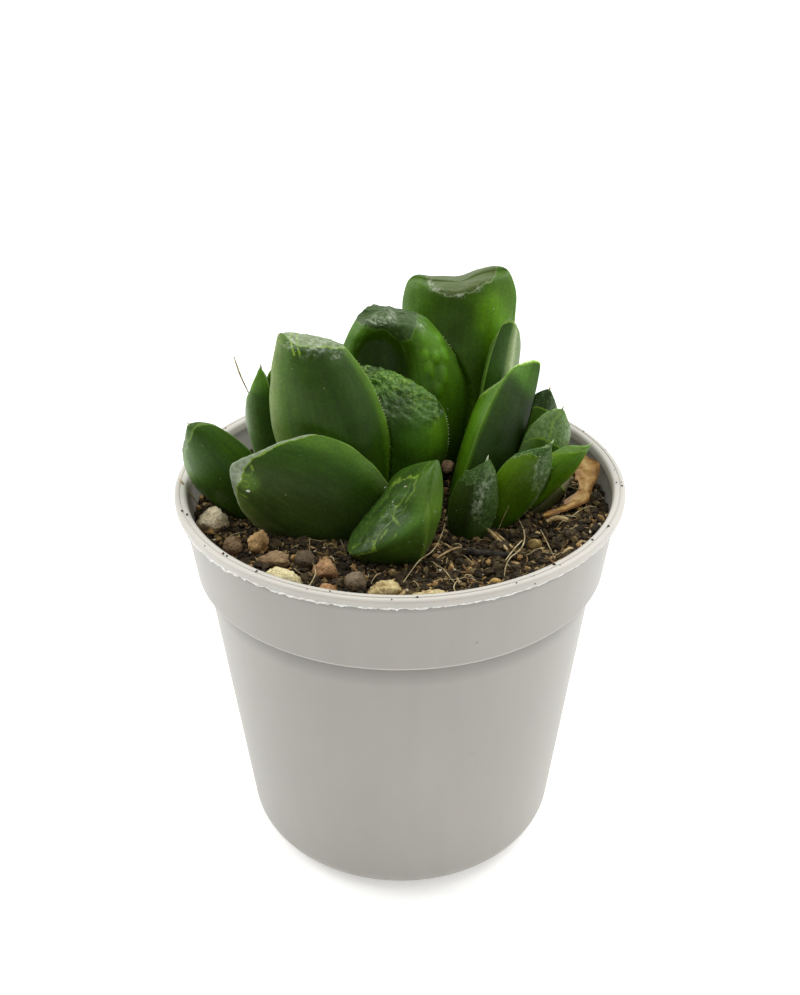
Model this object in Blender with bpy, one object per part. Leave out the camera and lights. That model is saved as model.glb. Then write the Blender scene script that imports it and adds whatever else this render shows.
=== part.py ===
"""Potted haworthia: a window-leaved rosette with two offsets in a small nursery pot.

The pot is one turned piece of moulded plastic. Soil fills it to 5 mm below the rim, with
grit fused in its surface, and carries loose stones, a dry husk and a stick in sockets.
A short broad stem under the soil carries every leaf. A leaf is one body: its wall rises
from a narrow foot, with a convex back, a flatter inner face and a margin on each side, and
a slanted window closes its top.

Frame: metres, +Z up, origin at the centre of the pot's base. -Y is the front.
"""
import math
import random
from collections import namedtuple

import bmesh
import bpy
from mathutils import Matrix, Vector, noise
from mathutils.bvhtree import BVHTree

MM = 0.001
GAP = 0.3                    # clearance between two touching solids, in mm
SEED = 11

# Pot, in mm
POT_HEIGHT = 58.7
RIM_R = 32.5
RIM_THICK = 1.1
BAND_TOP_R = 31.5
BAND_LOW_R = 30.15
BAND_HEIGHT = 12.5
WALL_TOP_R = 28.8
WALL_LOW_R = 24.0
BASE_FILLET = 4.4
WALL = 0.9
FOOT_RING_WIDTH = 2.6
BASE_RECESS = 1.2
BASE_THICK = 1.0
DRAIN_R = 2.4
DRAIN_CIRCLE_R = 11.0
DRAIN_COUNT = 6
POT_STEPS = 40

# Soil, in mm
SOIL_TOP = 53.3
SOIL_ROUGH = 0.45
SOIL_GRAINS = 36
SOIL_STEPS = 36
SOIL_RINGS = 6
GRAIN_R = (0.5, 1.0)

# Stem domes under the soil: centre, half sizes and top, in mm
STEM_DOMES = {
    "main": ((2.6, 1.8), (11.0, 11.0), 52.4),
    "right": ((14.2, -1.0), (6.0, 6.4), 52.2),
    "left": ((-17.4, 4.4), (5.0, 7.0), 52.2),
}
STEM_FLATNESS = 0.6
STEM_DEPTH = 9.0
RUNNER_R = 1.8
RUNNER_Z = 47.5

# A leaf's sizes in mm, angles in degrees counted from +X, and shares of its length or width.
# lean is the way the axis tilts, face is the way the back looks, and tip is where round the
# top the highest point lies: 0 left margin, 90 back, 180 right margin, seen from the back.
Leaf = namedtuple("Leaf", "foot lean tilt face length width back inner wide foot_w top_w"
                          " cut tip bow sway keel pressed_by")


def leaf(foot, lean, tilt, face, length, width, back=2.5, inner=2.5, wide=0.5, foot_w=0.5,
         top_w=0.1, cut=0.4, tip=90, bow=0.0, sway=0.0, keel=0.0, pressed_by=()):
    """A leaf's sizes, with the values that most small leaves share as defaults."""
    return Leaf(foot, lean, tilt, face, length, width, back, inner, wide, foot_w, top_w,
                cut, tip, bow, sway, keel, pressed_by)


MAIN_LEAVES = {
    "leaf_tall_left": leaf(
        (-5.6, 0.0, 51.0), 186, 16, 274, 31.5, 16.0, 4.5, 3.5, 0.49, 0.37, 0.38,
        cut=0.13, tip=0, bow=-0.06, sway=-0.02),
    "leaf_front_left": leaf(
        (-1.3, -5.5, 52.0), 182, 55, 275, 26.0, 18.0, 3.9, 3.5, 0.53, 0.44, 0.34,
        cut=0.59, tip=83, bow=0.03, sway=0.04, pressed_by=("leaf_tall_left",)),
    "leaf_centre": leaf(
        (0.2, 2.5, 51.0), 130, 11, 90, 23.6, 17.0, 3.5, 4.0, 0.54, 0.28, 0.47,
        cut=0.34, tip=138, bow=-0.04, pressed_by=("leaf_tall_left",)),
    "leaf_upper": leaf(
        (2.1, 6.0, 50.5), 104, 20, 104, 30.6, 20.5, 4.0, 4.0, 0.53, 0.34, 0.33,
        cut=0.11, tip=118, bow=-0.01, sway=-0.05, pressed_by=("leaf_centre",)),
    "leaf_tallest": leaf(
        (8.7, 9.5, 50.0), 93, 26, 85, 35.3, 17.5, 4.0, 4.0, 0.83, 0.39, 0.76,
        cut=0.11, tip=55, bow=-0.03, sway=0.05, pressed_by=("leaf_upper",)),
    "leaf_right": leaf(
        (8.0, -1.5, 50.5), 44, 32.5, 334, 27.6, 12.5, 4.0, 3.5, 0.56, 0.47, 0.10,
        cut=0.34, tip=75, bow=-0.04, sway=-0.02, keel=0.8),
    "leaf_front": leaf(
        (-1.0, -8.0, 51.0), 296, 31, 386, 21.5, 12.5, 4.4, 11.0, 0.44, 0.58, 0.40,
        cut=0.84, tip=61, bow=-0.02, sway=-0.12, pressed_by=("leaf_front_left",)),
    "leaf_back_right": leaf(
        (12.2, 9.7, 49.5), 53.4, 15.2, 330, 28.7, 11.3, 2.2, 1.8, 0.66, 0.50, 0.40,
        cut=0.30, tip=40, pressed_by=("leaf_tallest", "leaf_right")),
    "leaf_back_left": leaf(
        (-1.5, 9.5, 50.0), 130, 32, 122, 26.0, 13.0, 3.0, 2.6, 0.58, 0.45, 0.25,
        cut=0.30, tip=90, pressed_by=("leaf_upper", "leaf_tallest")),
}

RIGHT_OFFSET_LEAVES = {
    "offset_right_leaf_1": leaf((17.4, 6.2, 50.2), 25, 14, 300, 19.8, 8.6, wide=0.66,
                                top_w=0.20, cut=0.50, tip=60,
                                pressed_by=("leaf_right", "offset_right_leaf_2",
                                            "leaf_back_right")),
    "offset_right_leaf_2": leaf((17.6, 2.3, 51.0), 15.8, 18.8, 300, 18.3, 8.6, wide=0.66,
                                top_w=0.25, cut=0.45, tip=62,
                                pressed_by=("offset_right_leaf_3", "offset_right_leaf_4")),
    "offset_right_leaf_3": leaf((14.8, -1.5, 52.0), 7, 44.4, 290, 17.7, 5.6, 2.0, 2.0, 0.62,
                                top_w=0.14, cut=0.30, tip=110,
                                pressed_by=("offset_right_leaf_4",)),
    "offset_right_leaf_4": leaf((12.7, -4.3, 51.0), 12, 27.5, 287, 17.5, 8.2, wide=0.56,
                                foot_w=0.45, top_w=0.08, cut=0.36, tip=110, bow=0.02,
                                sway=-0.01),
    "offset_right_leaf_5": leaf((9.2, -7.2, 51.0), 34, 10.5, 258, 14.6, 6.8, wide=0.43,
                                foot_w=0.61, top_w=0.15, cut=0.38, tip=116, bow=-0.01,
                                sway=-0.05, keel=0.5, pressed_by=("offset_right_leaf_4",)),
    "dying_leaf_tip": leaf((18.6, -1.8, 52.6), 40, 66, 310, 9.6, 4.2, 1.2, 1.0,
                           top_w=0.06, cut=0.30, pressed_by=("offset_right_leaf_3",
                                                             "offset_right_leaf_2")),
}

LEFT_OFFSET_LEAVES = {
    "offset_left_leaf_1": leaf((-20.0, -0.4, 51.0), 198, 31.3, 254, 21.1, 11.6, 3.0, 2.2, 0.50,
                               0.30, 0.13, cut=0.38, tip=106, bow=-0.07, sway=-0.05,
                               pressed_by=("leaf_front_left",)),
    "offset_left_leaf_2": leaf((-17.8, 5.8, 51.0), 155.2, 17.9, 240, 22.1, 6.0, 2.0, 1.4, 0.60,
                               top_w=0.30, cut=0.30, tip=165, bow=-0.01, sway=-0.17),
    "offset_left_leaf_3": leaf((-15.2, 8.6, 49.7), 151.8, 19.4, 235, 22.0, 6.0, 1.9, 1.4, 0.60,
                               top_w=0.25, cut=0.30, tip=145, sway=-0.15,
                               pressed_by=("offset_left_leaf_2",)),
}

# Share of a leaf's rings that make its wall; the rest close its window
WALL_RINGS = 0.75
FOOT_ROUND = 0.10
MAIN_FACETS = (16, 12)
SMALL_FACETS = (12, 8)

# Loose stones: centre x and y, size across, deep and high, turn in degrees; in mm
Stone = namedtuple("Stone", "at size turn colour")
STONES = {
    "pumice_white": Stone((-26.9, -4.8), (5.0, 3.8, 4.2), 10, "D8CDB4"),
    "pumice_yellow": Stone((-15.6, -20.2), (5.6, 3.2, 3.2), -20, "C9BC83"),
    "pebble_brown": Stone((-23.3, -11.8), (2.8, 2.8, 3.2), 0, "7C6250"),
    "stone_tan": Stone((-19.8, -11.2), (3.6, 2.8, 4.4), 35, "B28D58"),
    "stone_brown_wide": Stone((-17.2, -15.2), (4.6, 3.0, 3.0), -15, "8A6A52"),
    "clod_dark": Stone((-13.0, -15.4), (2.8, 2.8, 2.8), 0, "5A4A40"),
    "stone_orange": Stone((-10.2, -18.4), (3.8, 2.8, 3.4), -10, "A8744C"),
    "stone_orange_small": Stone((-9.8, -22.6), (3.6, 2.4, 2.2), -5, "B4814E"),
    "pebble_dark": Stone((-6.0, -20.8), (2.9, 2.8, 3.2), 0, "6A5648"),
    "stone_yellow_tan": Stone((-1.9, -22.4), (4.9, 3.6, 3.0), -8, "B9A36C"),
    "stone_cream": Stone((4.0, -24.2), (5.4, 2.6, 2.2), 8, "C6B27C"),
    "chip_yellow": Stone((12.6, -21.2), (1.8, 1.5, 1.8), 20, "D0A860"),
    "pebble_olive": Stone((18.8, -10.9), (2.1, 1.8, 1.8), 0, "9A8656"),
    "pebble_ball": Stone((7.0, 2.2), (1.9, 1.9, 1.9), 0, "8C6B58"),
}
BALL_Z = 59.1
STONE_SUNK = 0.32            # share of a stone's height below the soil

# Husk: a dry curled scale, as centre line points with half widths, in mm
HUSK_LINE = (
    ((20.6, -4.4, 54.3), 0.5),
    ((23.0, -3.2, 54.6), 0.6),
    ((25.2, -2.0, 54.9), 0.9),
    ((26.6, -0.6, 55.2), 1.4),
    ((27.3, 1.0, 55.8), 1.0),
    ((27.6, 2.8, 56.7), 1.7),
    ((27.6, 4.4, 57.8), 2.0),
    ((27.4, 5.6, 59.0), 1.0),
)
HUSK_THICK = 0.7

# Stick: two ends and half width, in mm
STICK_ENDS = ((9.2, -13.4, 54.2), (15.4, -14.6, 54.0))
STICK_R = 0.65

COLOURS = {
    "pot": ("ABA8A0", 0.45),
    "soil": ("4A3426", 0.95),
    "stem": ("8A7A52", 0.8),
    "leaf": ("2F5A22", 0.4),
    "dry_leaf": ("6E7A58", 0.7),
    "husk": ("C49A64", 0.8),
    "stick": ("2E2620", 0.9),
}


def clear_scene():
    for old in list(bpy.data.objects):
        bpy.data.objects.remove(old)


def linear(hex_colour):
    """sRGB hex to linear RGBA."""
    parts = [int(hex_colour[i:i + 2], 16) / 255 for i in (0, 2, 4)]
    return [c / 12.92 if c <= 0.04045 else ((c + 0.055) / 1.055) ** 2.4 for c in parts] + [1]


def plain_material(name, hex_colour, roughness):
    material = bpy.data.materials.new(name)
    material.use_nodes = True
    shader = material.node_tree.nodes["Principled BSDF"]
    shader.inputs["Base Color"].default_value = linear(hex_colour)
    shader.inputs["Roughness"].default_value = roughness
    return material


def add_object(name, bm, hex_colour, roughness, sharp=40):
    """A named object from a bmesh in millimetres."""
    bmesh.ops.scale(bm, vec=(MM, MM, MM), verts=bm.verts)
    mesh = bpy.data.meshes.new(name)
    bm.to_mesh(mesh)
    bm.free()
    mesh.shade_smooth()
    mesh.set_sharp_from_angle(angle=math.radians(sharp))
    mesh.materials.append(plain_material(name, hex_colour, roughness))
    obj = bpy.data.objects.new(name, mesh)
    bpy.context.scene.collection.objects.link(obj)
    return obj


def grown_copy(obj, amount):
    """A cutter: the object's mesh swollen along its normals, hidden from the build."""
    bm = bmesh.new()
    bm.from_mesh(obj.data)
    bm.normal_update()
    for vert in bm.verts:
        vert.co += vert.normal * amount * MM
    mesh = bpy.data.meshes.new(obj.name + "_cutter")
    bm.to_mesh(mesh)
    bm.free()
    cutter = bpy.data.objects.new(obj.name + "_cutter", mesh)
    cutter.hide_render = True
    cutter.display_type = "WIRE"
    bpy.context.scene.collection.objects.link(cutter)
    return cutter


def boolean(obj, other, operation, solver="EXACT"):
    modifier = obj.modifiers.new(other.name, "BOOLEAN")
    modifier.operation = operation
    modifier.solver = solver
    modifier.object = other
    return modifier


def turned(profile, steps):
    """A bmesh turned round Z from (radius, height) points."""
    bm = bmesh.new()
    verts = [bm.verts.new((r, 0, z)) for r, z in profile]
    edges = [bm.edges.new(pair) for pair in zip(verts, verts[1:])]
    if profile[0][0] > 0:
        edges.append(bm.edges.new((verts[-1], verts[0])))
    bmesh.ops.spin(bm, geom=verts + edges, cent=(0, 0, 0), axis=(0, 0, 1),
                   angle=math.tau, steps=steps, use_merge=True)
    bmesh.ops.remove_doubles(bm, verts=bm.verts, dist=0.001)
    bmesh.ops.recalc_face_normals(bm, faces=bm.faces)
    return bm


def arc(centre, radius, start, end, steps):
    """Points on a circle, angles in degrees."""
    points = []
    for i in range(steps + 1):
        angle = math.radians(start + (end - start) * i / steps)
        points.append((centre[0] + radius * math.cos(angle),
                       centre[1] + radius * math.sin(angle)))
    return points


def band_radius(z):
    """Outer radius of the band under the rim at a height."""
    low = POT_HEIGHT - BAND_HEIGHT
    share = (z - low) / (POT_HEIGHT - RIM_THICK - low)
    return BAND_LOW_R + (BAND_TOP_R - BAND_LOW_R) * share


def pot():
    """Base, tapered wall, step, band and rim in one turned profile, then drain holes."""
    band_low = POT_HEIGHT - BAND_HEIGHT
    rim_low = POT_HEIGHT - RIM_THICK
    ring_out = WALL_LOW_R - BASE_FILLET
    ring_in = ring_out - FOOT_RING_WIDTH
    floor_top = BASE_RECESS + BASE_THICK
    outer = [(0, BASE_RECESS), (ring_in - BASE_RECESS, BASE_RECESS), (ring_in, 0)]
    outer += arc((ring_out, BASE_FILLET), BASE_FILLET, -90, -8, 4)
    outer += [(WALL_TOP_R, band_low - 0.5), (WALL_TOP_R + 0.5, band_low),
              (BAND_LOW_R - 0.3, band_low), (BAND_LOW_R, band_low + 0.4),
              (BAND_TOP_R, rim_low), (RIM_R - 0.2, rim_low), (RIM_R, rim_low + 0.3),
              (RIM_R - 0.1, POT_HEIGHT - 0.2), (RIM_R - 0.4, POT_HEIGHT)]
    inner = [(BAND_TOP_R - WALL + 0.5, POT_HEIGHT), (BAND_TOP_R - WALL + 0.1, POT_HEIGHT - 0.5),
             (BAND_LOW_R - WALL, band_low + 0.6), (WALL_TOP_R - WALL, band_low - 0.8),
             (WALL_LOW_R - WALL, floor_top + 3.0), (WALL_LOW_R - WALL - 2.6, floor_top),
             (0, floor_top)]
    obj = add_object("pot", turned(outer + inner, POT_STEPS), *COLOURS["pot"])
    for i in range(DRAIN_COUNT):
        bm = bmesh.new()
        bmesh.ops.create_cone(bm, cap_ends=True, segments=8, radius1=DRAIN_R,
                              radius2=DRAIN_R, depth=8)
        angle = math.tau * i / DRAIN_COUNT
        place = (DRAIN_CIRCLE_R * math.cos(angle), DRAIN_CIRCLE_R * math.sin(angle), 2)
        bmesh.ops.translate(bm, vec=place, verts=bm.verts)
        cutter = add_object("drain_cutter", bm, *COLOURS["pot"])
        cutter.hide_render = True
        cutter.display_type = "WIRE"
        boolean(obj, cutter, "DIFFERENCE")
    return obj


def swell(share, peak, low, high):
    """A width along the leaf: low at the foot, 1 at its peak and high at the top."""
    if share < peak:
        return low + (1 - low) * math.sin(math.pi / 2 * share / peak)
    return 1 - (1 - high) * ((share - peak) / (1 - peak)) ** 2


def leaf_point(spec, round_angle, rings):
    """A point of the leaf, from its angle round the section and its share of the rings."""
    edge = 1 - spec.cut * (1 - math.cos(round_angle - math.radians(spec.tip))) / 2
    wall = min(rings / WALL_RINGS, 1)
    share = wall * edge
    across = math.cos(round_angle)
    half = spec.width / 2 * swell(share, spec.wide, spec.foot_w, spec.top_w)
    back = spec.back * swell(share, 0.5, 0.5, 0.6)
    inner = spec.inner * swell(share, 0.6, 0.45, 0.8)
    if math.sin(round_angle) >= 0:
        deep = back * (1 - abs(across) ** 2.2)
        deep += spec.keel * share * max(0, 1 - abs(across) * 2.2)
    else:
        deep = -inner * (1 - abs(across) ** 3)
    close = min(wall / FOOT_ROUND, 1)
    close = math.sqrt(1 - (1 - close) ** 2)
    side = half * across * close
    deep = deep * close
    shift = spec.length * share ** 2
    side += spec.sway * shift
    deep += spec.bow * shift
    up = share * spec.length
    closing = max(0, (rings - WALL_RINGS) / (1 - WALL_RINGS))
    middle = 1 - spec.cut / 2
    middle_side = spec.sway * spec.length * middle ** 2
    middle_deep = spec.bow * spec.length * middle ** 2
    middle_deep += (spec.back * 0.36 - spec.inner * 0.64) / 2
    side += (middle_side - side) * closing
    deep += (middle_deep - deep) * closing
    up += (middle * spec.length - up) * closing
    return side, deep, up


def leaf_axes(spec):
    """The leaf's own axes: left as seen from its back, towards its back, and up its length."""
    lean, tilt, face = (math.radians(a) for a in (spec.lean, spec.tilt, spec.face))
    up = Vector((math.sin(tilt) * math.cos(lean), math.sin(tilt) * math.sin(lean),
                 math.cos(tilt)))
    back = Vector((math.cos(face), math.sin(face), 0))
    back = (back - up * back.dot(up)).normalized()
    return back.cross(up), back, up


def leaf_body(name, spec, facets, kind="leaf"):
    """A leaf from a sphere whose rings become its wall and its window."""
    bm = bmesh.new()
    bmesh.ops.create_uvsphere(bm, u_segments=facets[0], v_segments=facets[1], radius=1)
    left, back, up = leaf_axes(spec)
    for vert in bm.verts:
        rings = math.acos(max(-1, min(1, -vert.co.z))) / math.pi
        angle = math.atan2(vert.co.y, vert.co.x)
        side, deep, high = leaf_point(spec, angle, rings)
        vert.co = Vector(spec.foot) + left * side + back * deep + up * high
    return add_object(name, bm, *COLOURS[kind], sharp=50)


def leaves():
    """Every leaf, each hollowed where a nearer one presses on it."""
    made = {}
    for name, spec in MAIN_LEAVES.items():
        made[name] = leaf_body(name, spec, MAIN_FACETS)
    for name, spec in {**RIGHT_OFFSET_LEAVES, **LEFT_OFFSET_LEAVES}.items():
        kind = "dry_leaf" if name == "dying_leaf_tip" else "leaf"
        made[name] = leaf_body(name, spec, SMALL_FACETS, kind)
    cutters = {name: grown_copy(obj, GAP) for name, obj in made.items()}
    for name, spec in {**MAIN_LEAVES, **LEFT_OFFSET_LEAVES, **RIGHT_OFFSET_LEAVES}.items():
        for other in spec.pressed_by:
            boolean(made[name], cutters[other], "DIFFERENCE")
    return made, cutters


def soil_height(x, y):
    """The rough top of the soil: a slow roll and a finer crumble, in mm."""
    slow = noise.noise(Vector((x * 0.09, y * 0.09, 3.1)))
    fine = noise.noise(Vector((x * 0.45, y * 0.45, 7.7)))
    return SOIL_TOP + SOIL_ROUGH * (slow + 0.8 * fine)


def stones():
    """Loose stones: lumpy rounded bodies sunk a third into the soil."""
    made = []
    for index, (name, stone) in enumerate(STONES.items()):
        bm = bmesh.new()
        bmesh.ops.create_icosphere(bm, subdivisions=2, radius=0.5)
        for vert in bm.verts:
            lump = noise.noise(vert.co * 3.1 + Vector((index * 5.3, 0, 1.7)))
            vert.co *= 1 + 0.16 * lump
        bmesh.ops.scale(bm, vec=stone.size, verts=bm.verts)
        bmesh.ops.rotate(bm, matrix=Matrix.Rotation(math.radians(stone.turn), 3, "Z"),
                         verts=bm.verts)
        x, y = stone.at
        z = soil_height(x, y) + stone.size[2] * (0.5 - STONE_SUNK)
        if name == "pebble_ball":
            z = BALL_Z
        bmesh.ops.translate(bm, vec=(x, y, z), verts=bm.verts)
        made.append(add_object(name, bm, stone.colour, 0.9))
    return made


def ribbon(name, line, thick, kind):
    """A thin curled sheet along a line of points with half widths."""
    bm = bmesh.new()
    rows = []
    for i, (point, half) in enumerate(line):
        point = Vector(point)
        ahead = Vector(line[min(i + 1, len(line) - 1)][0])
        behind = Vector(line[max(i - 1, 0)][0])
        along = (ahead - behind).normalized()
        across = along.cross(Vector((0, 0, 1))).normalized()
        curl = half * 0.35
        rows.append([bm.verts.new(point + across * half * k + Vector((0, 0, curl * k * k)))
                     for k in (-1, -0.5, 0, 0.5, 1)])
    for row, following in zip(rows, rows[1:]):
        for j in range(4):
            bm.faces.new((row[j], row[j + 1], following[j + 1], following[j]))
    bmesh.ops.recalc_face_normals(bm, faces=bm.faces)
    bmesh.ops.solidify(bm, geom=bm.faces[:], thickness=thick)
    bmesh.ops.recalc_face_normals(bm, faces=bm.faces)
    return add_object(name, bm, *COLOURS[kind])


def stick():
    """A dark stick: a bent, tapered rod lying in the soil."""
    start, end = (Vector(p) for p in STICK_ENDS)
    bm = bmesh.new()
    bmesh.ops.create_cone(bm, cap_ends=True, segments=8, radius1=STICK_R,
                          radius2=STICK_R * 0.7, depth=(end - start).length)
    turn = Vector((0, 0, 1)).rotation_difference(end - start).to_matrix()
    bmesh.ops.rotate(bm, matrix=turn, verts=bm.verts)
    bmesh.ops.translate(bm, vec=(start + end) / 2, verts=bm.verts)
    return add_object("stick", bm, *COLOURS["stick"])


def dome(centre, half, top):
    bm = bmesh.new()
    bmesh.ops.create_uvsphere(bm, u_segments=14, v_segments=6, radius=1)
    for vert in bm.verts:
        vert.co.z = math.copysign(abs(vert.co.z) ** STEM_FLATNESS, vert.co.z)
    bmesh.ops.scale(bm, vec=(half[0], half[1], STEM_DEPTH / 2), verts=bm.verts)
    place = (centre[0], centre[1], top - STEM_DEPTH / 2)
    bmesh.ops.translate(bm, vec=place, verts=bm.verts)
    return bm


def stem(leaf_cutters):
    """Three domes joined by runners in one body, with a scar under each leaf."""
    parts = bpy.data.collections.new("stem_parts")
    main = add_object("stem", dome(*STEM_DOMES["main"]), *COLOURS["stem"])
    extra = []
    for side in ("right", "left"):
        extra.append(add_object("stem_" + side, dome(*STEM_DOMES[side]), *COLOURS["stem"]))
        start = Vector((*STEM_DOMES["main"][0], RUNNER_Z))
        end = Vector((*STEM_DOMES[side][0], RUNNER_Z))
        bm = bmesh.new()
        bmesh.ops.create_cone(bm, cap_ends=True, segments=8, radius1=RUNNER_R,
                              radius2=RUNNER_R, depth=(end - start).length)
        turn = Vector((0, 0, 1)).rotation_difference(end - start).to_matrix()
        bmesh.ops.rotate(bm, matrix=turn, verts=bm.verts)
        bmesh.ops.translate(bm, vec=(start + end) / 2, verts=bm.verts)
        extra.append(add_object("runner_" + side, bm, *COLOURS["stem"]))
    for piece in extra:
        parts.objects.link(piece)
    join = main.modifiers.new("join", "BOOLEAN")
    join.operation = "UNION"
    join.solver = "EXACT"
    join.operand_type = "COLLECTION"
    join.collection = parts
    apply_modifiers(main)
    for piece in extra:
        bpy.data.objects.remove(piece)
    whole = grown_copy(main, GAP)
    for cutter in leaf_cutters.values():
        boolean(main, cutter, "DIFFERENCE")
    return main, whole


def apply_modifiers(obj):
    """Replaces the object's mesh by the one its modifiers make."""
    depsgraph = bpy.context.evaluated_depsgraph_get()
    mesh = bpy.data.meshes.new_from_object(obj.evaluated_get(depsgraph))
    obj.modifiers.clear()
    obj.data = mesh


def drop_scraps(obj):
    """Keeps an object's largest body and deletes the crumbs that its sockets cut loose."""
    bm = bmesh.new()
    bm.from_mesh(obj.data)
    bodies = []
    left = set(bm.verts)
    while left:
        front = [left.pop()]
        body = set(front)
        while front:
            near = {e.other_vert(v) for v in front for e in v.link_edges} & left
            left -= near
            body |= near
            front = list(near)
        bodies.append(body)
    bodies.sort(key=len)
    for body in bodies[:-1]:
        bmesh.ops.delete(bm, geom=list(body), context="VERTS")
    bm.to_mesh(obj.data)
    bm.free()


def inside(point, tree):
    """Whether a point lies in a closed body: a ray straight up leaves it an odd number of times."""
    up = Vector((0, 0, 1))
    crossings = 0
    spot = tree.ray_cast(point, up)[0]
    while spot is not None:
        crossings += 1
        spot = tree.ray_cast(spot + up * 0.001 * MM, up)[0]
    return crossings % 2 == 1


def blocked(point, reach, trees):
    """Whether a grain at the point would touch a leaf, a stone or the stem."""
    return any(tree.find_nearest(point)[3] < reach or inside(point, tree) for tree in trees)


def soil(cutters):
    """The soil plug with its rough top, fused grains, and a socket for all it carries."""
    wall_low = (WALL_LOW_R - WALL - GAP, BASE_RECESS + BASE_THICK + 3.2)
    top_r = band_radius(SOIL_TOP) - WALL - GAP
    floor = BASE_RECESS + BASE_THICK + GAP
    profile = [(0, floor), (WALL_LOW_R - WALL - 3.1, floor), wall_low,
               (WALL_TOP_R - WALL - 0.4, POT_HEIGHT - BAND_HEIGHT - 0.6),
               (BAND_LOW_R - WALL - 0.35, POT_HEIGHT - BAND_HEIGHT + 0.9),
               (top_r, SOIL_TOP - 1.2)]
    profile += [(top_r * (1 - i / SOIL_RINGS) ** 0.8, SOIL_TOP) for i in range(SOIL_RINGS)]
    profile.append((0, SOIL_TOP))
    bm = turned(profile, SOIL_STEPS)
    for vert in bm.verts:
        if vert.co.z > SOIL_TOP - 0.1:
            vert.co.z = soil_height(vert.co.x, vert.co.y)
    obj = add_object("soil", bm, *COLOURS["soil"])
    trees = [BVHTree.FromObject(c, bpy.context.evaluated_depsgraph_get()) for c in cutters]
    grains = bpy.data.collections.new("grains")
    bpy.context.scene.collection.children.link(grains)
    draw = random.Random(SEED)
    placed = []
    for _ in range(SOIL_GRAINS * 8):
        if len(placed) == SOIL_GRAINS:
            break
        radius = draw.uniform(*GRAIN_R)
        away = (top_r - radius - 0.4) * math.sqrt(draw.random())
        angle = draw.uniform(0, math.tau)
        x, y = away * math.cos(angle), away * math.sin(angle)
        point = Vector((x, y, soil_height(x, y) + 0.15))
        near = any((point - other).length < radius + r + 0.2 for other, r in placed)
        if near or blocked(point * MM, (radius + 0.3) * MM, trees):
            continue
        placed.append((point, radius))
        grains.objects.link(grain(point, radius, draw))
    for cutter in cutters:
        boolean(obj, cutter, "DIFFERENCE")
    apply_modifiers(obj)
    join = obj.modifiers.new("grains", "BOOLEAN")
    join.operation = "UNION"
    join.solver = "MANIFOLD"
    join.operand_type = "COLLECTION"
    join.collection = grains
    apply_modifiers(obj)
    for piece in list(grains.objects):
        bpy.data.objects.remove(piece)
    drop_scraps(obj)
    return obj


def grain(point, radius, draw):
    """One coarse soil grain: a jittered icosahedron half sunk in the surface."""
    bm = bmesh.new()
    bmesh.ops.create_icosphere(bm, subdivisions=1, radius=radius)
    stretch = (draw.uniform(0.8, 1.25), draw.uniform(0.8, 1.25), draw.uniform(0.6, 0.9))
    bmesh.ops.scale(bm, vec=stretch, verts=bm.verts)
    turn = Matrix.Rotation(draw.uniform(0, math.tau), 3, "Z")
    bmesh.ops.rotate(bm, matrix=turn, verts=bm.verts)
    bmesh.ops.translate(bm, vec=point, verts=bm.verts)
    return add_object("grain", bm, *COLOURS["soil"])


def main():
    clear_scene()
    pot()
    made, leaf_cutters = leaves()
    _, stem_cutter = stem(leaf_cutters)
    loose = stones() + [stick(), ribbon("husk", HUSK_LINE, HUSK_THICK, "husk")]
    loose_cutters = [grown_copy(obj, GAP) for obj in loose]
    soil(list(leaf_cutters.values()) + [stem_cutter] + loose_cutters)
    for cutter in loose_cutters + [stem_cutter]:
        bpy.data.objects.remove(cutter)


main()
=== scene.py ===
# %% [markdown]
# # Potted haworthia
# A small windowed haworthia in a grey nursery pot. The leaves are thick and full of water,
# and each ends in a cut-off window that lets light into the leaf. The fixed frame gives the
# place and size of every solid, and this lesson dresses them: first the camera and light,
# then the pot, the soil with its grit, the leaves, and at the end the hairs and fibres.

import math
import random
from collections import namedtuple
from functools import partial

import bmesh
import bpy
from mathutils import Matrix, Vector, noise
from mathutils.bvhtree import BVHTree


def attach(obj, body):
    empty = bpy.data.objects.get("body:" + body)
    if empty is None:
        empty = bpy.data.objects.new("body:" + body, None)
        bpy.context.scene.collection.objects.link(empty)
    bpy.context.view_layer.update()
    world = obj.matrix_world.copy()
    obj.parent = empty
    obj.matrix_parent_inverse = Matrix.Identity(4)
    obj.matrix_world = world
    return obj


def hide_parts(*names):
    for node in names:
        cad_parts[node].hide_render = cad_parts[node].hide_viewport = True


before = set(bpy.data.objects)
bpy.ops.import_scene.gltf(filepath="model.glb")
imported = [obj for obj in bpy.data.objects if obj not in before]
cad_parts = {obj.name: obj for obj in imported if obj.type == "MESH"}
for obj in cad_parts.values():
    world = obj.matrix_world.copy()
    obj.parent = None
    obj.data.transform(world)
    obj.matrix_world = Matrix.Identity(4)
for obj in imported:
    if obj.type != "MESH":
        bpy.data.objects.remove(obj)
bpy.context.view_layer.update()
print("frame nodes:", len(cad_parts))

# %% [markdown]
# Everything is drawn in millimetres and scaled to metres once, when a piece is finished.
# A finished piece stays at the origin and holds its place in its mesh, so that patterns on
# object coordinates stay where they are when the model is exported.

# %% Finish a piece
MM = 0.001


def mesh_of(name, bm):
    """The mesh of a bmesh, which is let go."""
    mesh = bpy.data.meshes.new(name)
    bm.to_mesh(mesh)
    bm.free()
    return mesh


def add_object(name, data):
    """Puts an object of a mesh, lamp, camera or curve into the scene."""
    made = bpy.data.objects.new(name, data)
    bpy.context.scene.collection.objects.link(made)
    return made


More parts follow.
